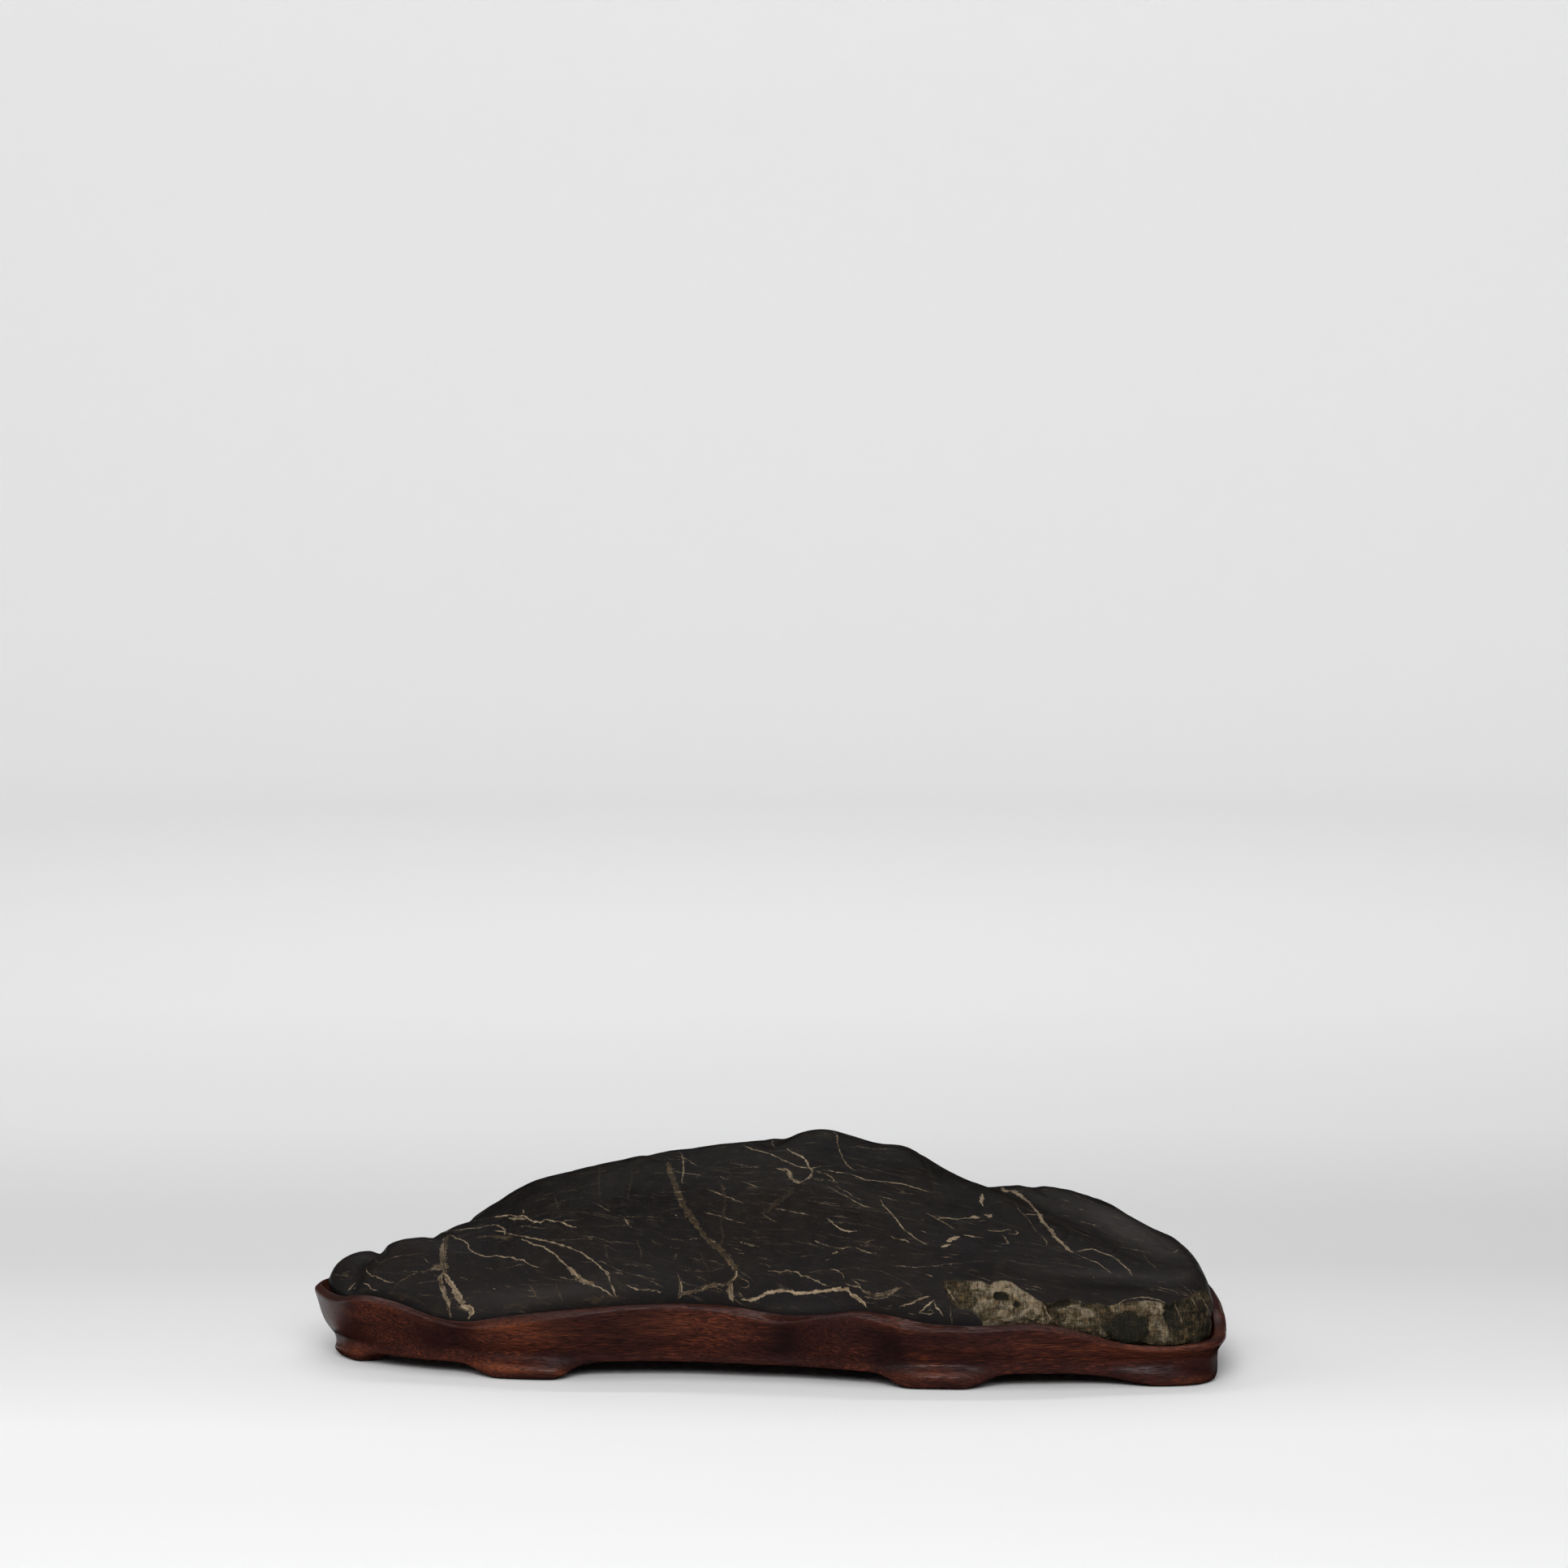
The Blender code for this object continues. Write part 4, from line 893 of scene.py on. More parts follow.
class Paint:
    """A material's nodes, added in short calls. All but add, feed and bump give a node's output."""

    def __init__(self, name):
        self.material = bpy.data.materials.new(name)
        self.material.use_nodes = True
        self.tree = self.material.node_tree
        self.shader = self.tree.nodes["Principled BSDF"]
        self.place = self.add("ShaderNodeTexCoord").outputs["Object"]

    def add(self, kind, inputs=None, **settings):
        """A new node, with its inputs fed and its settings made."""
        made = self.tree.nodes.new(kind)
        for key, value in settings.items():
            setattr(made, key, value)
        for socket, value in (inputs or {}).items():
            self.feed(made.inputs[socket], value)
        return made

    def feed(self, socket, value):
        """Gives a socket another socket's output, or a fixed value."""
        if isinstance(value, bpy.types.NodeSocket):
            self.tree.links.new(value, socket)
        else:
            socket.default_value = value

    def number(self, operation, *values):
        made = self.add("ShaderNodeMath", dict(enumerate(values)), operation=operation)
        return made.outputs[0]

    def ramp(self, value, low, high, to_low=0.0, to_high=1.0):
        """Value from low to high taken smoothly to the range from to_low to to_high."""
        inputs = {"Value": value, "From Min": low, "From Max": high}
        inputs.update({"To Min": to_low, "To Max": to_high})
        made = self.add("ShaderNodeMapRange", inputs, interpolation_type="SMOOTHSTEP")
        return made.outputs["Result"]

    def mix(self, share, first, second):
        made = self.add("ShaderNodeMix", {0: share, 6: first, 7: second}, data_type="RGBA")
        return made.outputs[2]

    def colours(self, value, stops):
        """The colour of a value from 0 to 1, by stops of place and colour."""
        made = self.add("ShaderNodeValToRGB", {"Fac": value})
        elements = made.color_ramp.elements
        elements.remove(elements[1])
        elements[0].position, elements[0].color = stops[0]
        for place, colour in stops[1:]:
            elements.new(place).color = colour
        return made.outputs["Color"]

    def noise(self, wavelength, detail=2.0, roughness=0.5, seed=0.0, turn=0.0):
        """Noise from 0 to 1. The wavelength is in millimetres, one number or one for each axis.

        A turn tips the noise about the Y axis.
        """
        if isinstance(wavelength, (int, float)):
            wavelength = (wavelength,) * 3
        scale = tuple(1.0 / (length * MM) for length in wavelength)
        place = self.place
        if turn:
            place = self.mapped(place, Rotation=(0.0, -turn, 0.0))
        place = self.mapped(place, Location=(seed,) * 3, Scale=scale)
        return self.noise_of(place, detail, roughness)

    def mapped(self, place, **mapping):
        return self.add("ShaderNodeMapping", {"Vector": place, **mapping}).outputs[0]

    def noise_of(self, place, detail, roughness):
        inputs = {"Vector": place, "Scale": 1.0, "Detail": detail, "Roughness": roughness}
        return self.add("ShaderNodeTexNoise", inputs).outputs["Fac"]

    def tint(self, colour, over, share, noise, low, high):
        """A colour with another over it, up to a share, where a noise runs from low to high."""
        return self.mix(self.ramp(self.noise(*noise), low, high, 0.0, share), colour, over)

    def attribute(self, name):
        return self.add("ShaderNodeAttribute", attribute_name=name).outputs["Fac"]

    def bump(self, heights):
        """Relief from heights in millimetres, one node for each."""
        normal = None
        for height in heights:
            inputs = {"Height": height, "Strength": 1.0, "Distance": MM}
            if normal is not None:
                inputs["Normal"] = normal
            normal = self.add("ShaderNodeBump", inputs).outputs["Normal"]
        self.feed(self.shader.inputs["Normal"], normal)


# A noise below has its wavelength in millimetres, detail, roughness and seed, and may have a turn.
DARK_STONE = (0.0046, 0.0042, 0.0042, 1.0)
# Painted sheen: the stone is paler and a little bluer low down, fading to its dark colour higher
# up.
STONE_LOW_SHEEN = (0.0128, 0.0113, 0.0121, 1.0)
LOW_SHEEN_HEIGHTS = (18.0, 62.0)  # from all painted sheen low down to all dark stone
# Colours of the painted sheen and of the painted shade on the stone.
SHEEN_STONE = (0.0310, 0.0276, 0.0262, 1.0)
SHADED_STONE = (0.0045, 0.0042, 0.0042, 1.0)
MOTTLE = (5.0, 4.0, 0.6, 2.0)
STREAKS = ((14.0, 1.6, 0.8), 3.0, 0.6, 3.0, math.radians(14.0))
# Tints of the stone, one over another: colour, share, noise, and the part of the noise over
# which the tint rises.
STONE_TINTS = (
    ((0.0108, 0.0090, 0.0076, 1.0), 0.6, (38.0, 2.0, 0.5, 1.0), 0.35, 0.65),
    ((0.0142, 0.0118, 0.0104, 1.0), 0.5, MOTTLE, 0.35, 0.75),
    ((0.0270, 0.0222, 0.0180, 1.0), 0.5, STREAKS, 0.52, 0.78),
    ((0.0270, 0.0225, 0.0150, 1.0), 0.5, ((11.0, 9.0, 7.0), 4.0, 0.65, 8.0), 0.55, 0.80),
    ((0.0330, 0.0270, 0.0225, 1.0), 0.35, (0.55, 3.0, 0.7, 15.0), 0.52, 0.78),
)
CREAM = (0.36, 0.275, 0.180, 1.0)
OLIVE = (0.036, 0.026, 0.015, 1.0)
RUST = (0.150, 0.088, 0.044, 1.0)
# Colours of the broken ledge from its darkest to its palest stone.
LEDGE_COLOURS = (
    (0.0, (0.0115, 0.0112, 0.0090, 1.0)),
    (0.3, (0.0250, 0.0198, 0.0122, 1.0)),
    (0.6, (0.0570, 0.0440, 0.0265, 1.0)),
    (1.0, (0.2080, 0.1640, 0.1080, 1.0)),
)
GREY_CRYSTAL = (0.118, 0.118, 0.102, 1.0)
OCHRE_CRYSTAL = (0.130, 0.078, 0.034, 1.0)
STONE_SPECULAR = 0.03


def stone_material():
    """Near-black stone, the crystals of its ledge and its veins."""
    paint = Paint("veined_stone")
    height = paint.add("ShaderNodeSeparateXYZ", {"Vector": paint.place}).outputs["Z"]
    # Painted sheen, paler low down and darker towards the top.
    low, high = LOW_SHEEN_HEIGHTS
    body = paint.mix(paint.ramp(height, low * MM, high * MM, 1.0, 0.0), DARK_STONE, STONE_LOW_SHEEN)
    for tint in STONE_TINTS:
        body = paint.tint(body, *tint)
    # Painted sheen pales the stone and painted shade darkens it.
    painted_sheen_and_shade = paint.attribute("painted_sheen_and_shade")
    body = paint.mix(paint.ramp(painted_sheen_and_shade, 0.0, 1.0), body, SHEEN_STONE)
    body = paint.mix(paint.ramp(painted_sheen_and_shade, 0.0, -1.0, 0.0, 0.8), body, SHADED_STONE)
    ledge = paint.attribute("ledge")
    crystal, crust = ledge_crystal(paint)
    colour = paint.mix(ledge, body, crystal)
    cover, vein = vein_colour(paint)
    paint.feed(paint.shader.inputs["Base Color"], paint.mix(cover, colour, vein))
    mottle = paint.ramp(paint.noise(*MOTTLE), 0.35, 0.75)
    rough = paint.number("MULTIPLY_ADD", ledge, 0.2, paint.ramp(mottle, 0.0, 1.0, 0.42, 0.52))
    paint.feed(paint.shader.inputs["Roughness"], rough)
    paint.shader.inputs["Specular IOR Level"].default_value = STONE_SPECULAR
    fine = paint.number("MULTIPLY", paint.noise(0.9, 3.0, 0.6, 4.0), 0.07)
    crust = paint.number("MULTIPLY", crust, paint.number("MULTIPLY", ledge, 0.5))
    paint.bump([fine, crust, paint.number("MULTIPLY", cover, 0.04)])
    return paint.material


def ledge_crystal(paint):
    """The colour of the ledge's broken stone, and the noise of its crust."""
    fibre = paint.ramp(paint.noise((0.42, 1.4, 4.0), 3.0, 0.6, 10.0), 0.3, 0.7, -0.18, 0.16)
    cross = paint.ramp(paint.noise((2.6, 1.4, 0.45), 3.0, 0.6, 17.0), 0.3, 0.7, -0.12, 0.10)
    blotch = paint.ramp(paint.noise(1.8, 4.0, 0.7, 11.0), 0.25, 0.75, -0.12, 0.10)
    crust = paint.number("ADD", paint.number("ADD", fibre, cross), blotch)
    tone = paint.number("ADD", paint.attribute("ledge_tone"), crust)
    grey = paint.ramp(paint.noise(3.4, 3.0, 0.6, 14.0), 0.50, 0.68, 0.0, 0.3)
    grey = paint.number("MULTIPLY", grey, paint.ramp(tone, 0.3, 0.8))
    crystal = paint.mix(grey, paint.colours(tone, LEDGE_COLOURS), GREY_CRYSTAL)
    ochre = paint.ramp(paint.noise(2.2, 3.0, 0.6, 12.0), 0.52, 0.68, 0.0, 0.5)
    ochre = paint.number("MULTIPLY", ochre, paint.ramp(tone, 0.15, 0.5))
    return paint.mix(ochre, crystal, OCHRE_CRYSTAL), crust


def vein_colour(paint):
    """How much of the surface the veins cover, broken by grain and clots, and their colour."""
    cover, tone, threads = vein_cover(paint)
    grain = paint.noise(0.5, 3.0, 0.75, 9.0)
    tone = paint.number("ADD", tone, paint.ramp(grain, 0.3, 0.7, -0.4, 0.5))
    tone = paint.number("ADD", tone, paint.ramp(threads, 0.3, 0.7, -0.45, 0.55))
    tone = paint.number("ADD", tone, paint.ramp(cover, 0.0, 0.8, 0.3, 0.0))
    clots = paint.ramp(paint.noise(2.4, 3.0, 0.6, 13.0), 0.32, 0.62, 0.65, 1.0)
    cover = paint.number("MULTIPLY", cover, paint.ramp(grain, 0.28, 0.58, 0.35, 1.0))
    cover = paint.number("MULTIPLY", cover, clots)
    rusty = paint.ramp(paint.noise(3.2, 3.0, 0.6, 16.0), 0.50, 0.68, 0.0, 0.5)
    return cover, paint.mix(rusty, paint.mix(tone, CREAM, OLIVE), RUST)


def vein_cover(paint):
    """How much of the surface the veins cover, their tone, and the noise of threads along them."""
    wobble = paint.number(
        "ADD",
        paint.ramp(paint.noise(2.2, 1.0, 0.5, 5.0), 0.2, 0.8, -0.22, 0.22),
        paint.ramp(paint.noise(0.7, 2.0, 0.7, 6.0), 0.2, 0.8, -0.15, 0.15),
    )
    swell = paint.ramp(paint.noise(1.8, 2.0, 0.6, 7.0), 0.3, 0.7, 0.45, 1.2)
    cover, tone, across = 0.0, 0.3, 0.0
    for i in range(VEIN_LAYERS):
        stored = paint.add("ShaderNodeAttribute", attribute_name=f"vein_{i}")
        parts = paint.add("ShaderNodeSeparateColor", {"Color": stored.outputs["Color"]}).outputs
        away = paint.number("ABSOLUTE", paint.number("ADD", parts[0], wobble))
        margin = paint.number("SUBTRACT", paint.number("MULTIPLY", parts[1], swell), away)
        inside = paint.ramp(margin, -0.02, 0.16)
        tone = paint.number("MULTIPLY_ADD", paint.number("SUBTRACT", parts[2], tone), inside, tone)
        step = paint.number("SUBTRACT", parts[0], across)
        across = paint.number("MULTIPLY_ADD", step, inside, across)
        inside = paint.number("MULTIPLY", inside, stored.outputs["Alpha"])
        cover = paint.number("MAXIMUM", inside, cover)
    # The distance across a vein changes fast, and the place along it slowly, so the noise of
    # both runs in threads along the vein.
    slow = paint.add("ShaderNodeVectorMath", {0: paint.place}, operation="SCALE")
    slow.inputs["Scale"].default_value = 1.0 / (THREAD_LENGTH * MM)
    fast = paint.number("DIVIDE", across, THREAD_WIDTH)
    place = paint.add("ShaderNodeVectorMath", {0: slow.outputs[0]}, operation="ADD")
    paint.feed(place.inputs[1], paint.add("ShaderNodeCombineXYZ", {"Y": fast}).outputs[0])
    return cover, tone, paint.noise_of(place.outputs[0], 2.0, 0.6)


WOOD_DARK = (0.0270, 0.0090, 0.0080, 1.0)
WOOD_RED = (0.0590, 0.0160, 0.0105, 1.0)
WOOD_BANDS = ((0.0200, 0.0064, 0.0050, 1.0), 0.75, ((26.0, 1.6, 1.2), 4.0, 0.6, 2.0), 0.42, 0.70)
WOOD_GLOW = (0.160, 0.0385, 0.0150, 1.0)
# Pale orange of worn wood, which also serves as painted highlight.
WOOD_WEAR_AND_HIGHLIGHT = (0.165, 0.0440, 0.0170, 1.0)
# Colour of the painted shade, and of the stain at the back.
WOOD_SHADE_AND_STAIN = (0.0110, 0.0040, 0.0042, 1.0)
WOOD_PORES = (0.010, 0.0036, 0.0028, 1.0)
WOOD_SPECULAR = 0.24


def wood_material():
    """Polished dark-red wood with grain and pores along the stand."""
    paint = Paint("dark_red_wood")
    broad = paint.ramp(paint.noise((48.0, 24.0, 13.0), 3.0, 0.55, 1.0), 0.35, 0.65)
    colour = paint.tint(paint.mix(broad, WOOD_DARK, WOOD_RED), *WOOD_BANDS)
    glow = paint.ramp(paint.noise((6.0, 0.5, 0.42), 2.0, 0.55, 5.0), 0.50, 0.65)
    glow = paint.number("MULTIPLY", glow, paint.ramp(broad, 0.1, 0.9, 0.2, 0.8))
    colour = paint.mix(glow, colour, WOOD_GLOW)
    streaked = paint.ramp(paint.noise((7.0, 0.6, 0.4), 3.0, 0.6, 7.0), 0.35, 0.60)
    streaked = paint.ramp(streaked, 0.0, 1.0, 0.35, 1.0)
    # Partly wear and partly painted highlight, broken along the grain.
    wear_and_highlight = paint.number("MULTIPLY", paint.attribute("wear_and_highlight"), streaked)
    colour = paint.mix(wear_and_highlight, colour, WOOD_WEAR_AND_HIGHLIGHT)
    # Painted shade in hollows, above the feet and along the rim's top, with some stain at the back.
    painted_shade_and_stain = paint.number("MULTIPLY", paint.attribute("painted_shade_and_stain"), 0.9)
    colour = paint.mix(painted_shade_and_stain, colour, WOOD_SHADE_AND_STAIN)
    pores = paint.ramp(paint.noise((4.5, 0.3, 0.26), 2.0, 0.5, 3.0), 0.54, 0.65)
    colour = paint.mix(paint.number("MULTIPLY", pores, 0.85), colour, WOOD_PORES)
    paint.feed(paint.shader.inputs["Base Color"], colour)
    rough = paint.ramp(paint.noise(14.0, 3.0, 0.6, 4.0), 0.3, 0.7, 0.26, 0.36)
    for amount, share in ((wear_and_highlight, -0.08), (painted_shade_and_stain, 0.15), (pores, 0.12)):
        rough = paint.number("MULTIPLY_ADD", amount, share, rough)
    paint.feed(paint.shader.inputs["Roughness"], rough)
    paint.shader.inputs["Specular IOR Level"].default_value = WOOD_SPECULAR
    fibre = paint.number("MULTIPLY", paint.noise((8.0, 0.9, 0.7), 3.0, 0.6, 6.0), 0.07)
    thread = paint.number("MULTIPLY", paint.noise((3.5, 0.4, 0.34), 2.0, 0.6, 8.0), 0.035)
    paint.bump([paint.number("MULTIPLY", pores, -0.05), fibre, thread])
    return paint.material


def paper_material():
    """Matt white paper, a little paler or darker by its place from front to back, as painted light
    and shade.
    """
    paint = Paint("pale_paper")
    places = paint.add("ShaderNodeSeparateXYZ", {"Vector": paint.place}).outputs
    start, end = FLOOR_TONE_AND_SHADE[0][0], FLOOR_TONE_AND_SHADE[-1][0]
    span = (end - start) * MM
    along = paint.number("MULTIPLY_ADD", places["Y"], 1.0 / span, -start * MM / span)
    shades = [
        ((y - start) / (end - start), (shade, shade, 1.003 * shade, 1.0))
        for y, shade in FLOOR_TONE_AND_SHADE
    ]
    paint.feed(paint.shader.inputs["Base Color"], paint.colours(along, shades))
    paint.shader.inputs["Roughness"].default_value = 0.9
    paint.shader.inputs["Specular IOR Level"].default_value = 0.0
    return paint.material


# ---- Stand ----

SPINE_HALF_LENGTH = 108.0  # the wall's outward direction is away from this line
SPINE_Y = 3.0
# The rounded shoulder of the rim along the front: place across the picture, how far the outer
# edge drops, and how far down the wall the rounding reaches, in millimetres.
SHOULDER = (
    (395, 0.8, 3.5), (470, 1.0, 4.0), (550, 1.3, 4.5), (625, 2.8, 9.0), (690, 1.8, 6.0),
    (760, 0.5, 2.4), (840, 0.35, 2.0), (890, 1.5, 4.5), (955, 2.8, 8.5), (1010, 0.8, 3.0),
    (1055, 0.7, 2.6), (1110, 3.0, 9.0), (1165, 1.4, 5.0), (1230, 1.2, 4.0), (1310, 1.3, 4.5),
    (1380, 1.8, 5.0), (1430, 2.4, 6.0), (1485, 2.2, 5.5),
)  # fmt: skip
# Carved swells and hollows of the wall and feet: place and half sizes in the picture, turn in
# degrees, and height in millimetres.
STAND_TOUCHES = (
    ((630, 1652), (55, 12), 0, 0.7),
    ((575, 1640), (18, 20), 20, -0.6),
    ((830, 1640), (75, 16), 0, 0.5),
    ((968, 1652), (17, 24), -15, -1.2),
    ((1032, 1650), (28, 20), 0, 0.6),
    ((1092, 1658), (24, 18), 20, -1.1),
    ((1190, 1655), (36, 14), 0, 0.5),
    ((1400, 1682), (60, 8), 0, -0.7),
    ((1470, 1680), (24, 9), 20, -0.8),
    ((640, 1672), (50, 8), 3, -0.5),
    ((632, 1690), (44, 9), 4, 1.0),
    ((688, 1693), (14, 6), 0, 0.6),
    ((1150, 1681), (44, 8), 0, -0.5),
    ((1155, 1698), (44, 9), 2, 1.0),
    ((1472, 1702), (34, 7), -6, 0.9),
    ((440, 1652), (30, 4), 22, -0.9),
    ((433, 1668), (20, 9), 15, 1.3),
    ((413, 1664), (8, 8), 0, 0.8),
)
# Where the polish is rubbed through to paler wood, partly real wear and partly painted highlights
# on the rim's shoulder and the feet, in the same way but with an amount.
STAND_WEAR_AND_HIGHLIGHTS = (
    ((622, 1629), (34, 9), -6, 0.75),
    ((660, 1640), (50, 16), -5, 0.25),
    ((625, 1686), (34, 5), 6, 0.9),
    ((688, 1691), (10, 4), 0, 0.6),
    ((600, 1695), (30, 8), 10, 0.3),
    ((480, 1612), (50, 3), 22, 0.35),
    ((820, 1632), (50, 14), 0, 0.25),
    ((1150, 1694), (36, 5), 2, 0.45),
    ((1420, 1664), (50, 3), 4, 0.6),
    ((1474, 1700), (26, 4), -4, 0.5),
    ((440, 1665), (10, 5), 10, 0.4),
    ((1300, 1612), (60, 3), 6, 0.3),
    ((1120, 1615), (16, 5), 15, 0.6),
    ((960, 1618), (40, 4), 0, 0.4),
    ((725, 1611), (40, 2.5), -4, 0.3),
)
# Hollows and the wall above the feet, darker with painted shade, in the same way.
STAND_PAINTED_SHADE = (
    ((965, 1652), (24, 26), -10, 1.1),
    ((1092, 1668), (32, 26), 10, 1.2),
    ((755, 1652), (50, 16), 0, 0.55),
    ((560, 1650), (34, 18), 20, 0.5),
    ((1010, 1612), (30, 6), 0, 0.5),
    ((1195, 1683), (40, 9), 0, 0.8),
    ((1110, 1683), (30, 7), 10, 0.5),
    ((1445, 1686), (70, 10), 3, 0.7),
    ((690, 1673), (34, 9), 8, 0.8),
    ((600, 1670), (50, 6), 3, 0.4),
    ((430, 1648), (20, 8), 10, 0.5),
)
# The shoulder at the back: the same drop and reach, and how far each of them varies.
BACK_DROP, BACK_DROP_WAVES = 1.5, 0.8
BACK_REACH, BACK_REACH_WAVES = 5.5, 2.0
BACK_START = 5.0  # the back's looks start this far behind the middle
FRONT_TO_BACK = 12.0  # and are full this much further on
CREST_ABOVE = 17.0  # the top of the rim is above this height
RIGHT_END_X = 128.0  # from here on the rim is thick and lies close to the stone
RIGHT_END_HIGHER_X = 138.0  # and from here on it is raised too
RIGHT_END_THICKER = 2.4
RIGHT_END_GAP = 0.6  # what the thick rim leaves free beside the stone
RIGHT_END_HIGHER = 1.8
GAP_LIMIT = 8.0  # gaps to the stone are measured up to this one
LEFT_BOWL_X = -126.0  # from here on, leftwards, the wall swells like a bowl
LEFT_BOWL = 2.1
LEFT_BOWL_HEIGHT = 12.0
# Gentle waves of the carved wood: height, wavelength, and seed of the noise.
STAND_WAVES = ((0.16, (16.0, 14.0, 7.0), 23), (0.05, (6.0, 6.0, 3.0), 24))


def rim_above(points, normals):
    """For each point, the height of the rim's top nearest in plan."""
    crest = np.nonzero((normals[:, 2] > 0.85) & (points[:, 2] > CREST_ABOVE))[0]
    tree = KDTree(len(crest))
    for i, j in enumerate(crest):
        tree.insert((points[j, 0], points[j, 1], 0.0), i)
    tree.balance()
    top = np.empty(len(points))
    for i, (x, y, _) in enumerate(points):
        found = tree.find_n((x, y, 0.0), 6)
        top[i] = max(points[crest[near[1]], 2] for near in found)
    return top


def shape_stand(stand, stone):
    """Rounds the rim's shoulder, carves the wall and feet, and leaves the floor's contact flat."""
    mesh = stand.data
    points, normals = points_of(mesh), normals_of(mesh)
    x, y, z = points.T
    spine_x = np.clip(x, -SPINE_HALF_LENGTH, SPINE_HALF_LENGTH)
    outward = np.column_stack([x - spine_x, y - SPINE_Y])
    outward /= np.linalg.norm(outward, axis=1, keepdims=True)
    below = rim_above(points, normals) - z
    outer = np.clip(0.5 + 0.6 * (normals[:, :2] * outward).sum(axis=1), 0.0, 1.0)
    behind = smooth_step((y - BACK_START) / FRONT_TO_BACK)
    wave = noise_at(points * (1.0, 1.0, 0.0), 26.0, 21)
    across = in_picture(points)[:, 0]
    places, drops, reaches = np.array(SHOULDER).T
    drop = np.interp(across, places, drops)
    drop += behind * (BACK_DROP + BACK_DROP_WAVES * wave - drop)
    reach = np.interp(across, places, reaches)
    reach += behind * (BACK_REACH + BACK_REACH_WAVES * wave - reach)
    fade = np.clip(1.0 - below / reach, 0.0, 1.0) ** 2 * (below > -0.8)
    moved = points.copy()
    moved[:, 2] -= drop * outer**1.5 * fade
    moved[:, :2] -= outward * (0.45 * drop * outer * fade)[:, None]
    # The right end's rim is thickened towards the stone, and raised but for its front corner.
    tree = surface_tree(stone.data)
    inner = smooth_step((0.62 - outer) / 0.25) * (below < 9.0) * (z > 12.0)
    inner *= smooth_step((x - RIGHT_END_X) / 8.0) * smooth_step((9.0 - below) / 5.0)
    for i in np.nonzero(inner > 0.02)[0]:
        inward = Vector((-outward[i, 0], -outward[i, 1], 0.0))
        hit = tree.ray_cast(Vector(moved[i]) * MM, inward, GAP_LIMIT * MM)[3]
        gap = GAP_LIMIT if hit is None else hit / MM
        thicker = np.clip(gap - RIGHT_END_GAP, 0.0, RIGHT_END_THICKER)
        moved[i, :2] -= outward[i] * inner[i] * thicker
    raised = smooth_step((x - RIGHT_END_HIGHER_X) / 8.0) * smooth_step((y + 20.0) / 12.0)
    moved[:, 2] += RIGHT_END_HIGHER * raised * smooth_step((10.0 - below) / 9.0)
    height = touch(points, normals, STAND_TOUCHES) + waves(points, STAND_WAVES)
    height += behind * 0.9 * outer * noise_at(points, (24.0, 24.0, 12.0), 22) * (below > 2.0)
    left = smooth_step((LEFT_BOWL_X - x) / 14.0)
    bowl = bell((z - LEFT_BOWL_HEIGHT) / 6.5) * smooth_step((z - 4.0) / 4.0)
    height += LEFT_BOWL * left * bowl
    # Nothing moves at the floor or inside the wall.
    height *= smooth_step((z - 0.6) / 3.0) * smooth_step((outer - 0.35) / 0.4)
    set_points(mesh, moved + normals * height[:, None])
    # Painted shade in the hollows and above the feet, painted shade along the rim's top, and random
    # stain at the back.
    painted_shade_and_stain = np.clip(touch(points, normals, STAND_PAINTED_SHADE), 0.0, 1.0)
    painted_shade_and_stain += behind * 0.5 * smooth_step(noise_at(points, (34.0, 34.0, 12.0), 26) * 2.0 - 0.2)
    painted_shade_and_stain += 0.6 * bell(below / 1.8)
    set_attribute(mesh, "painted_shade_and_stain", np.clip(painted_shade_and_stain, 0.0, 1.0))
    # Partly wear and partly painted highlight along the rim's rounded shoulder and where given, and
    # random wear at the back.
    wear_and_highlight = 0.30 * fade * outer * smooth_step(drop / 3.0)
    wear_and_highlight += np.clip(touch(points, normals, STAND_WEAR_AND_HIGHLIGHTS), 0.0, 1.0)
    wear_and_highlight += behind * outer * 0.25 * smooth_step(noise_at(points, (30.0, 30.0, 9.0), 25) - 0.1)
    set_attribute(mesh, "wear_and_highlight", np.clip(wear_and_highlight, 0.0, 1.0))


# ---- Surroundings ----

FLOOR_RADIUS = 2000.0
BEND_RADIUS = 500.0
WALL_TOP = 1500.0
ROUND_STEPS = 96
BEND_STEPS = 16
FLAT_RINGS = (300.0, 900.0, 1500.0)
# Soft lights: name, place, the point that it faces, width and height, power in watts, and
# whether it shows in glossy surfaces.
LIGHTS = (
    ("overhead", (0.0, -500.0, 1200.0), (0.0, 0.0, 0.0), (1000.0, 500.0), 4.2, True),
    ("front", (0.0, -1500.0, 900.0), (0.0, 0.0, 0.0), (1500.0, 700.0), 20.5, False),
    ("window", (0.0, -1495.0, 897.0), (0.0, 0.0, 0.0), (600.0, 350.0), 8.0, True),
    ("left", (-1000.0, 0.0, 900.0), (0.0, 0.0, 0.0), (700.0, 700.0), 2.4, True),
    ("wall", (0.0, 900.0, 1900.0), (0.0, 2400.0, 450.0), (2400.0, 500.0), 28.0, True),
    ("behind", (0.0, 1200.0, 1300.0), (0.0, 0.0, 0.0), (1200.0, 500.0), 2.5, True),
)
ROOM_BRIGHTNESS = 0.005
CARD_NEAR, CARD_FAR = 149.0, 900.0  # how far the cards lie from the middle
CARD_REACH = (10.0, 900.0)  # where they start and end, towards the back
CARD_HEIGHT = 0.4
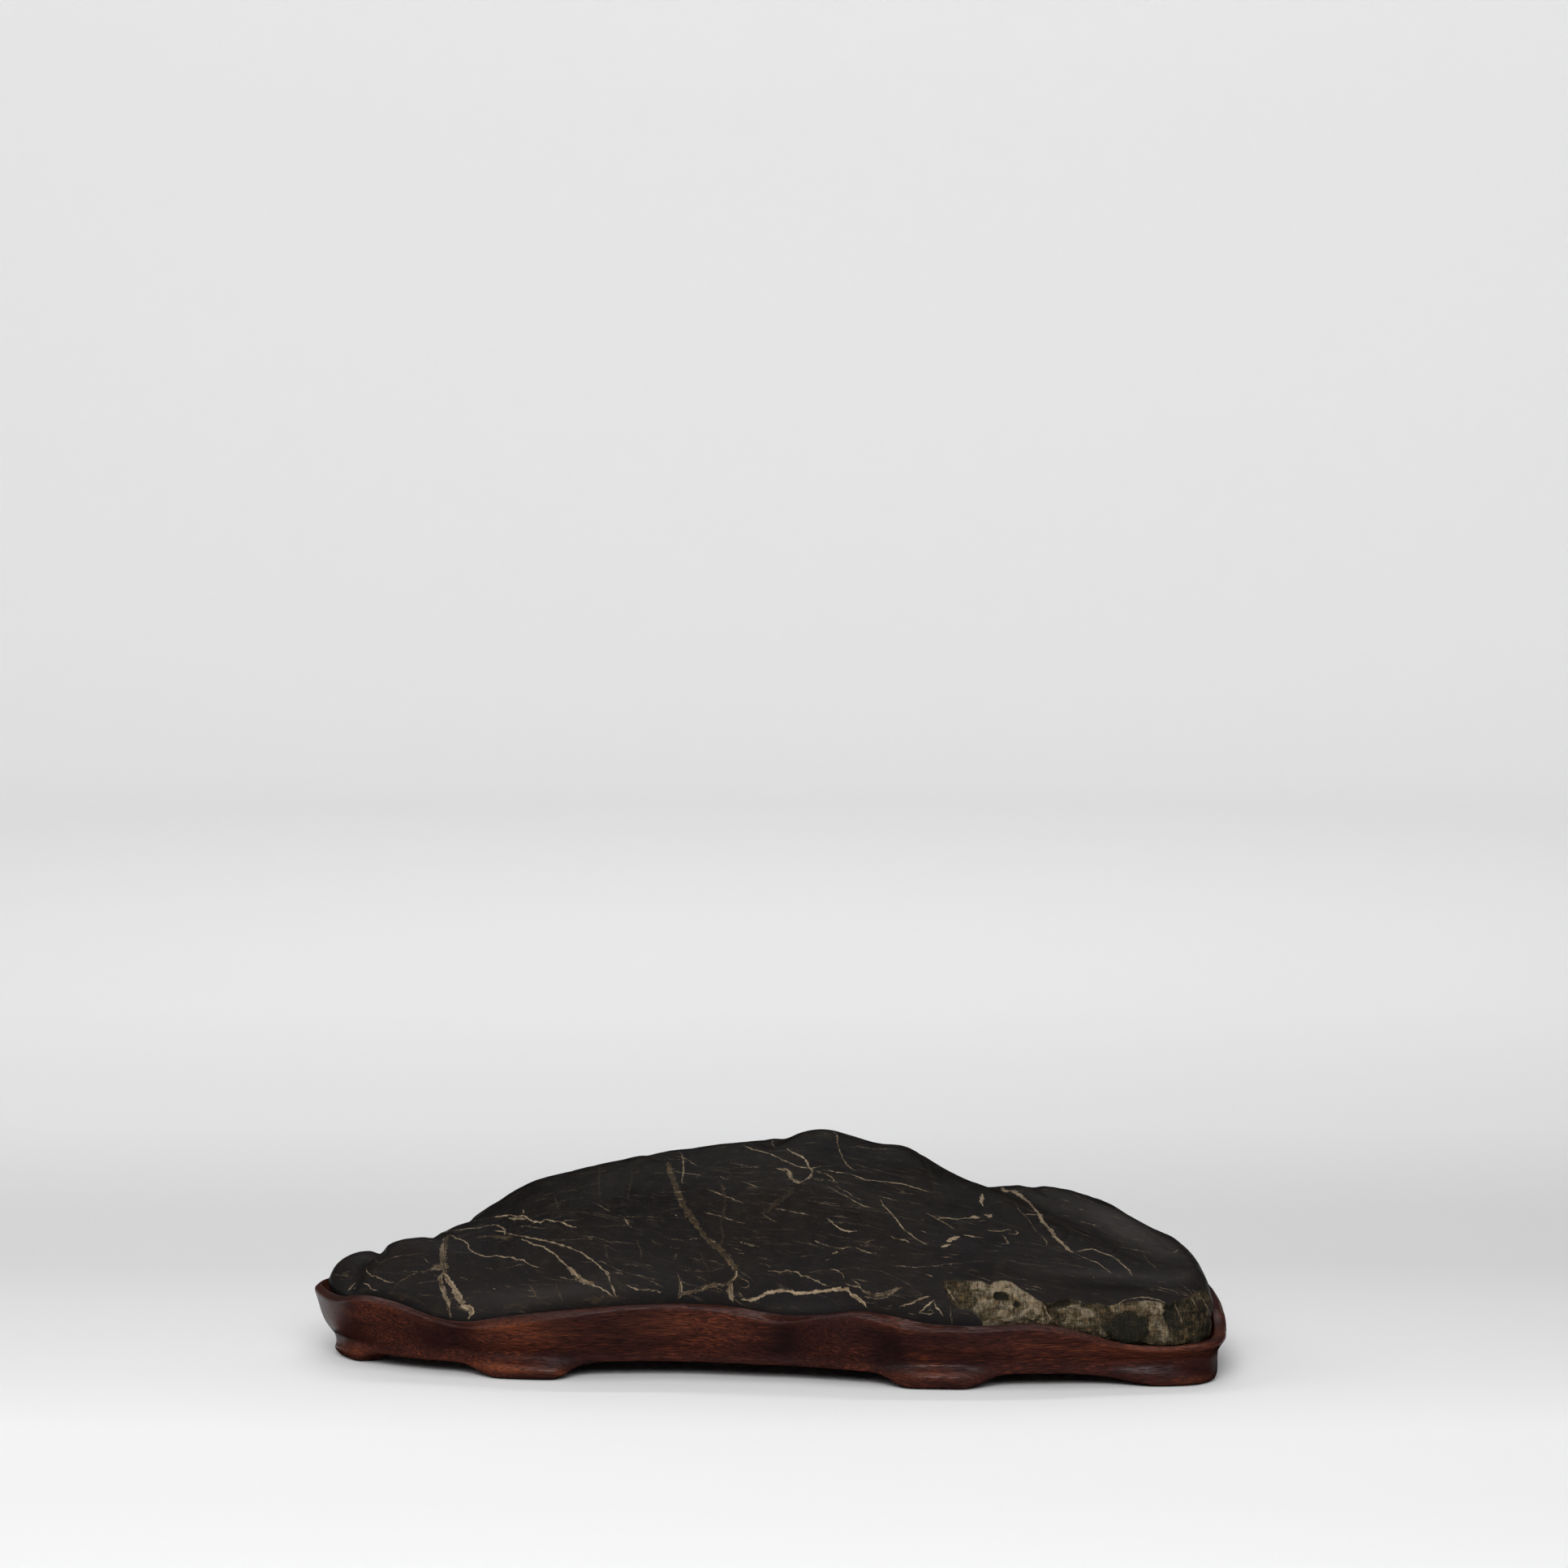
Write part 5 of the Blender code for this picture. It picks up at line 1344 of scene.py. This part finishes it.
# The floor's reflectance by its place along the Y axis, in millimetres: dim far in front, with a
# painted pool of light just in front of the stand and a band of painted shade behind it.
FLOOR_TONE_AND_SHADE = (
    (-700.0, 0.480), (-400.0, 0.780), (-208.0, 0.790), (-112.0, 0.825), (-16.0, 0.760),
    (96.0, 0.710), (176.0, 0.660), (288.0, 0.670), (496.0, 0.770), (880.0, 0.820),
)  # fmt: skip


def cove():
    """A pale floor that curves up into a wall all round, wide enough for a camera on any side."""
    bend = np.linspace(0.0, math.pi / 2.0, BEND_STEPS)
    profile = [(r, 0.0) for r in FLAT_RINGS]
    profile += [
        (FLOOR_RADIUS + BEND_RADIUS * math.sin(a), BEND_RADIUS * (1.0 - math.cos(a))) for a in bend
    ]
    profile.append((FLOOR_RADIUS + BEND_RADIUS, WALL_TOP))
    turns = [2.0 * math.pi * i / ROUND_STEPS for i in range(ROUND_STEPS)]
    shape = bmesh.new()
    rings = [
        [shape.verts.new(Vector((r * math.cos(a), r * math.sin(a), z)) * MM) for a in turns]
        for r, z in profile
    ]
    shape.faces.new(rings[0])
    for lower, upper in zip(rings, rings[1:]):
        for i in range(ROUND_STEPS):
            j = (i + 1) % ROUND_STEPS
            shape.faces.new((upper[i], upper[j], lower[j], lower[i]))
    mesh = bpy.data.meshes.new("cove")
    shape.to_mesh(mesh)
    shape.free()
    mesh.shade_smooth()
    mesh.materials.append(paper_material())
    floor = bpy.data.objects.new("cove", mesh)
    floor.visible_glossy = False
    bpy.context.scene.collection.objects.link(floor)


def card(name, left, right):
    """A white card beside the stand, which shows in glossy surfaces alone."""
    front, back = CARD_REACH
    corners = ((left, front), (right, front), (right, back), (left, back))
    mesh = bpy.data.meshes.new(name)
    mesh.from_pydata([(x * MM, y * MM, CARD_HEIGHT * MM) for x, y in corners], [], [range(4)])
    mesh.materials.append(bpy.data.materials["pale_paper"])
    sheet = bpy.data.objects.new(name, mesh)
    sheet.visible_camera = sheet.visible_diffuse = sheet.visible_shadow = False
    bpy.context.scene.collection.objects.link(sheet)


def soft_light(name, place, target, size, power, shines):
    """A rectangular area light that the camera doesn't see."""
    lamp = bpy.data.lights.new(name, "AREA")
    lamp.shape = "RECTANGLE"
    lamp.size, lamp.size_y = size[0] * MM, size[1] * MM
    lamp.energy = power
    holder = bpy.data.objects.new(name, lamp)
    holder.location = Vector(place) * MM
    holder.rotation_euler = (Vector(target) - Vector(place)).to_track_quat("-Z", "Y").to_euler()
    holder.visible_camera = False
    holder.visible_glossy = shines
    bpy.context.scene.collection.objects.link(holder)


def surroundings():
    """The cove, the cards, the lights and a faintly lit room, shown in plain sRGB."""
    cove()
    card("left_card", -CARD_FAR, -CARD_NEAR)
    card("right_card", CARD_NEAR, CARD_FAR)
    for light in LIGHTS:
        soft_light(*light)
    world = bpy.data.worlds.new("room")
    world.use_nodes = True
    room = world.node_tree.nodes["Background"].inputs
    room["Color"].default_value = (1.0, 1.0, 1.0, 1.0)
    room["Strength"].default_value = ROOM_BRIGHTNESS
    bpy.context.scene.world = world
    bpy.context.scene.view_settings.view_transform = "Standard"


def camera():
    lens = bpy.data.cameras.new("camera")
    lens.lens = LENS
    lens.sensor_width = SENSOR
    holder = bpy.data.objects.new("camera", lens)
    holder.location = Vector(CAMERA_PLACE) * MM
    holder.rotation_euler = (math.pi / 2.0 - CAMERA_PITCH, 0.0, 0.0)
    bpy.context.scene.collection.objects.link(holder)
    bpy.context.scene.camera = holder


# ---- The scene ----


def dress(piece, node, material):
    """Puts a finished piece in a CAD node's place."""
    piece.data.materials.append(material)
    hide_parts(node)
    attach(piece, "root")


camera()
surroundings()
stone = stone_mesh()
shape_stone(stone)
lay_veins(stone)
dress(stone, "stone", stone_material())
stand = subdivided(quad_cage("stand"))
shape_stand(stand, stone)
dress(stand, "stand", wood_material())
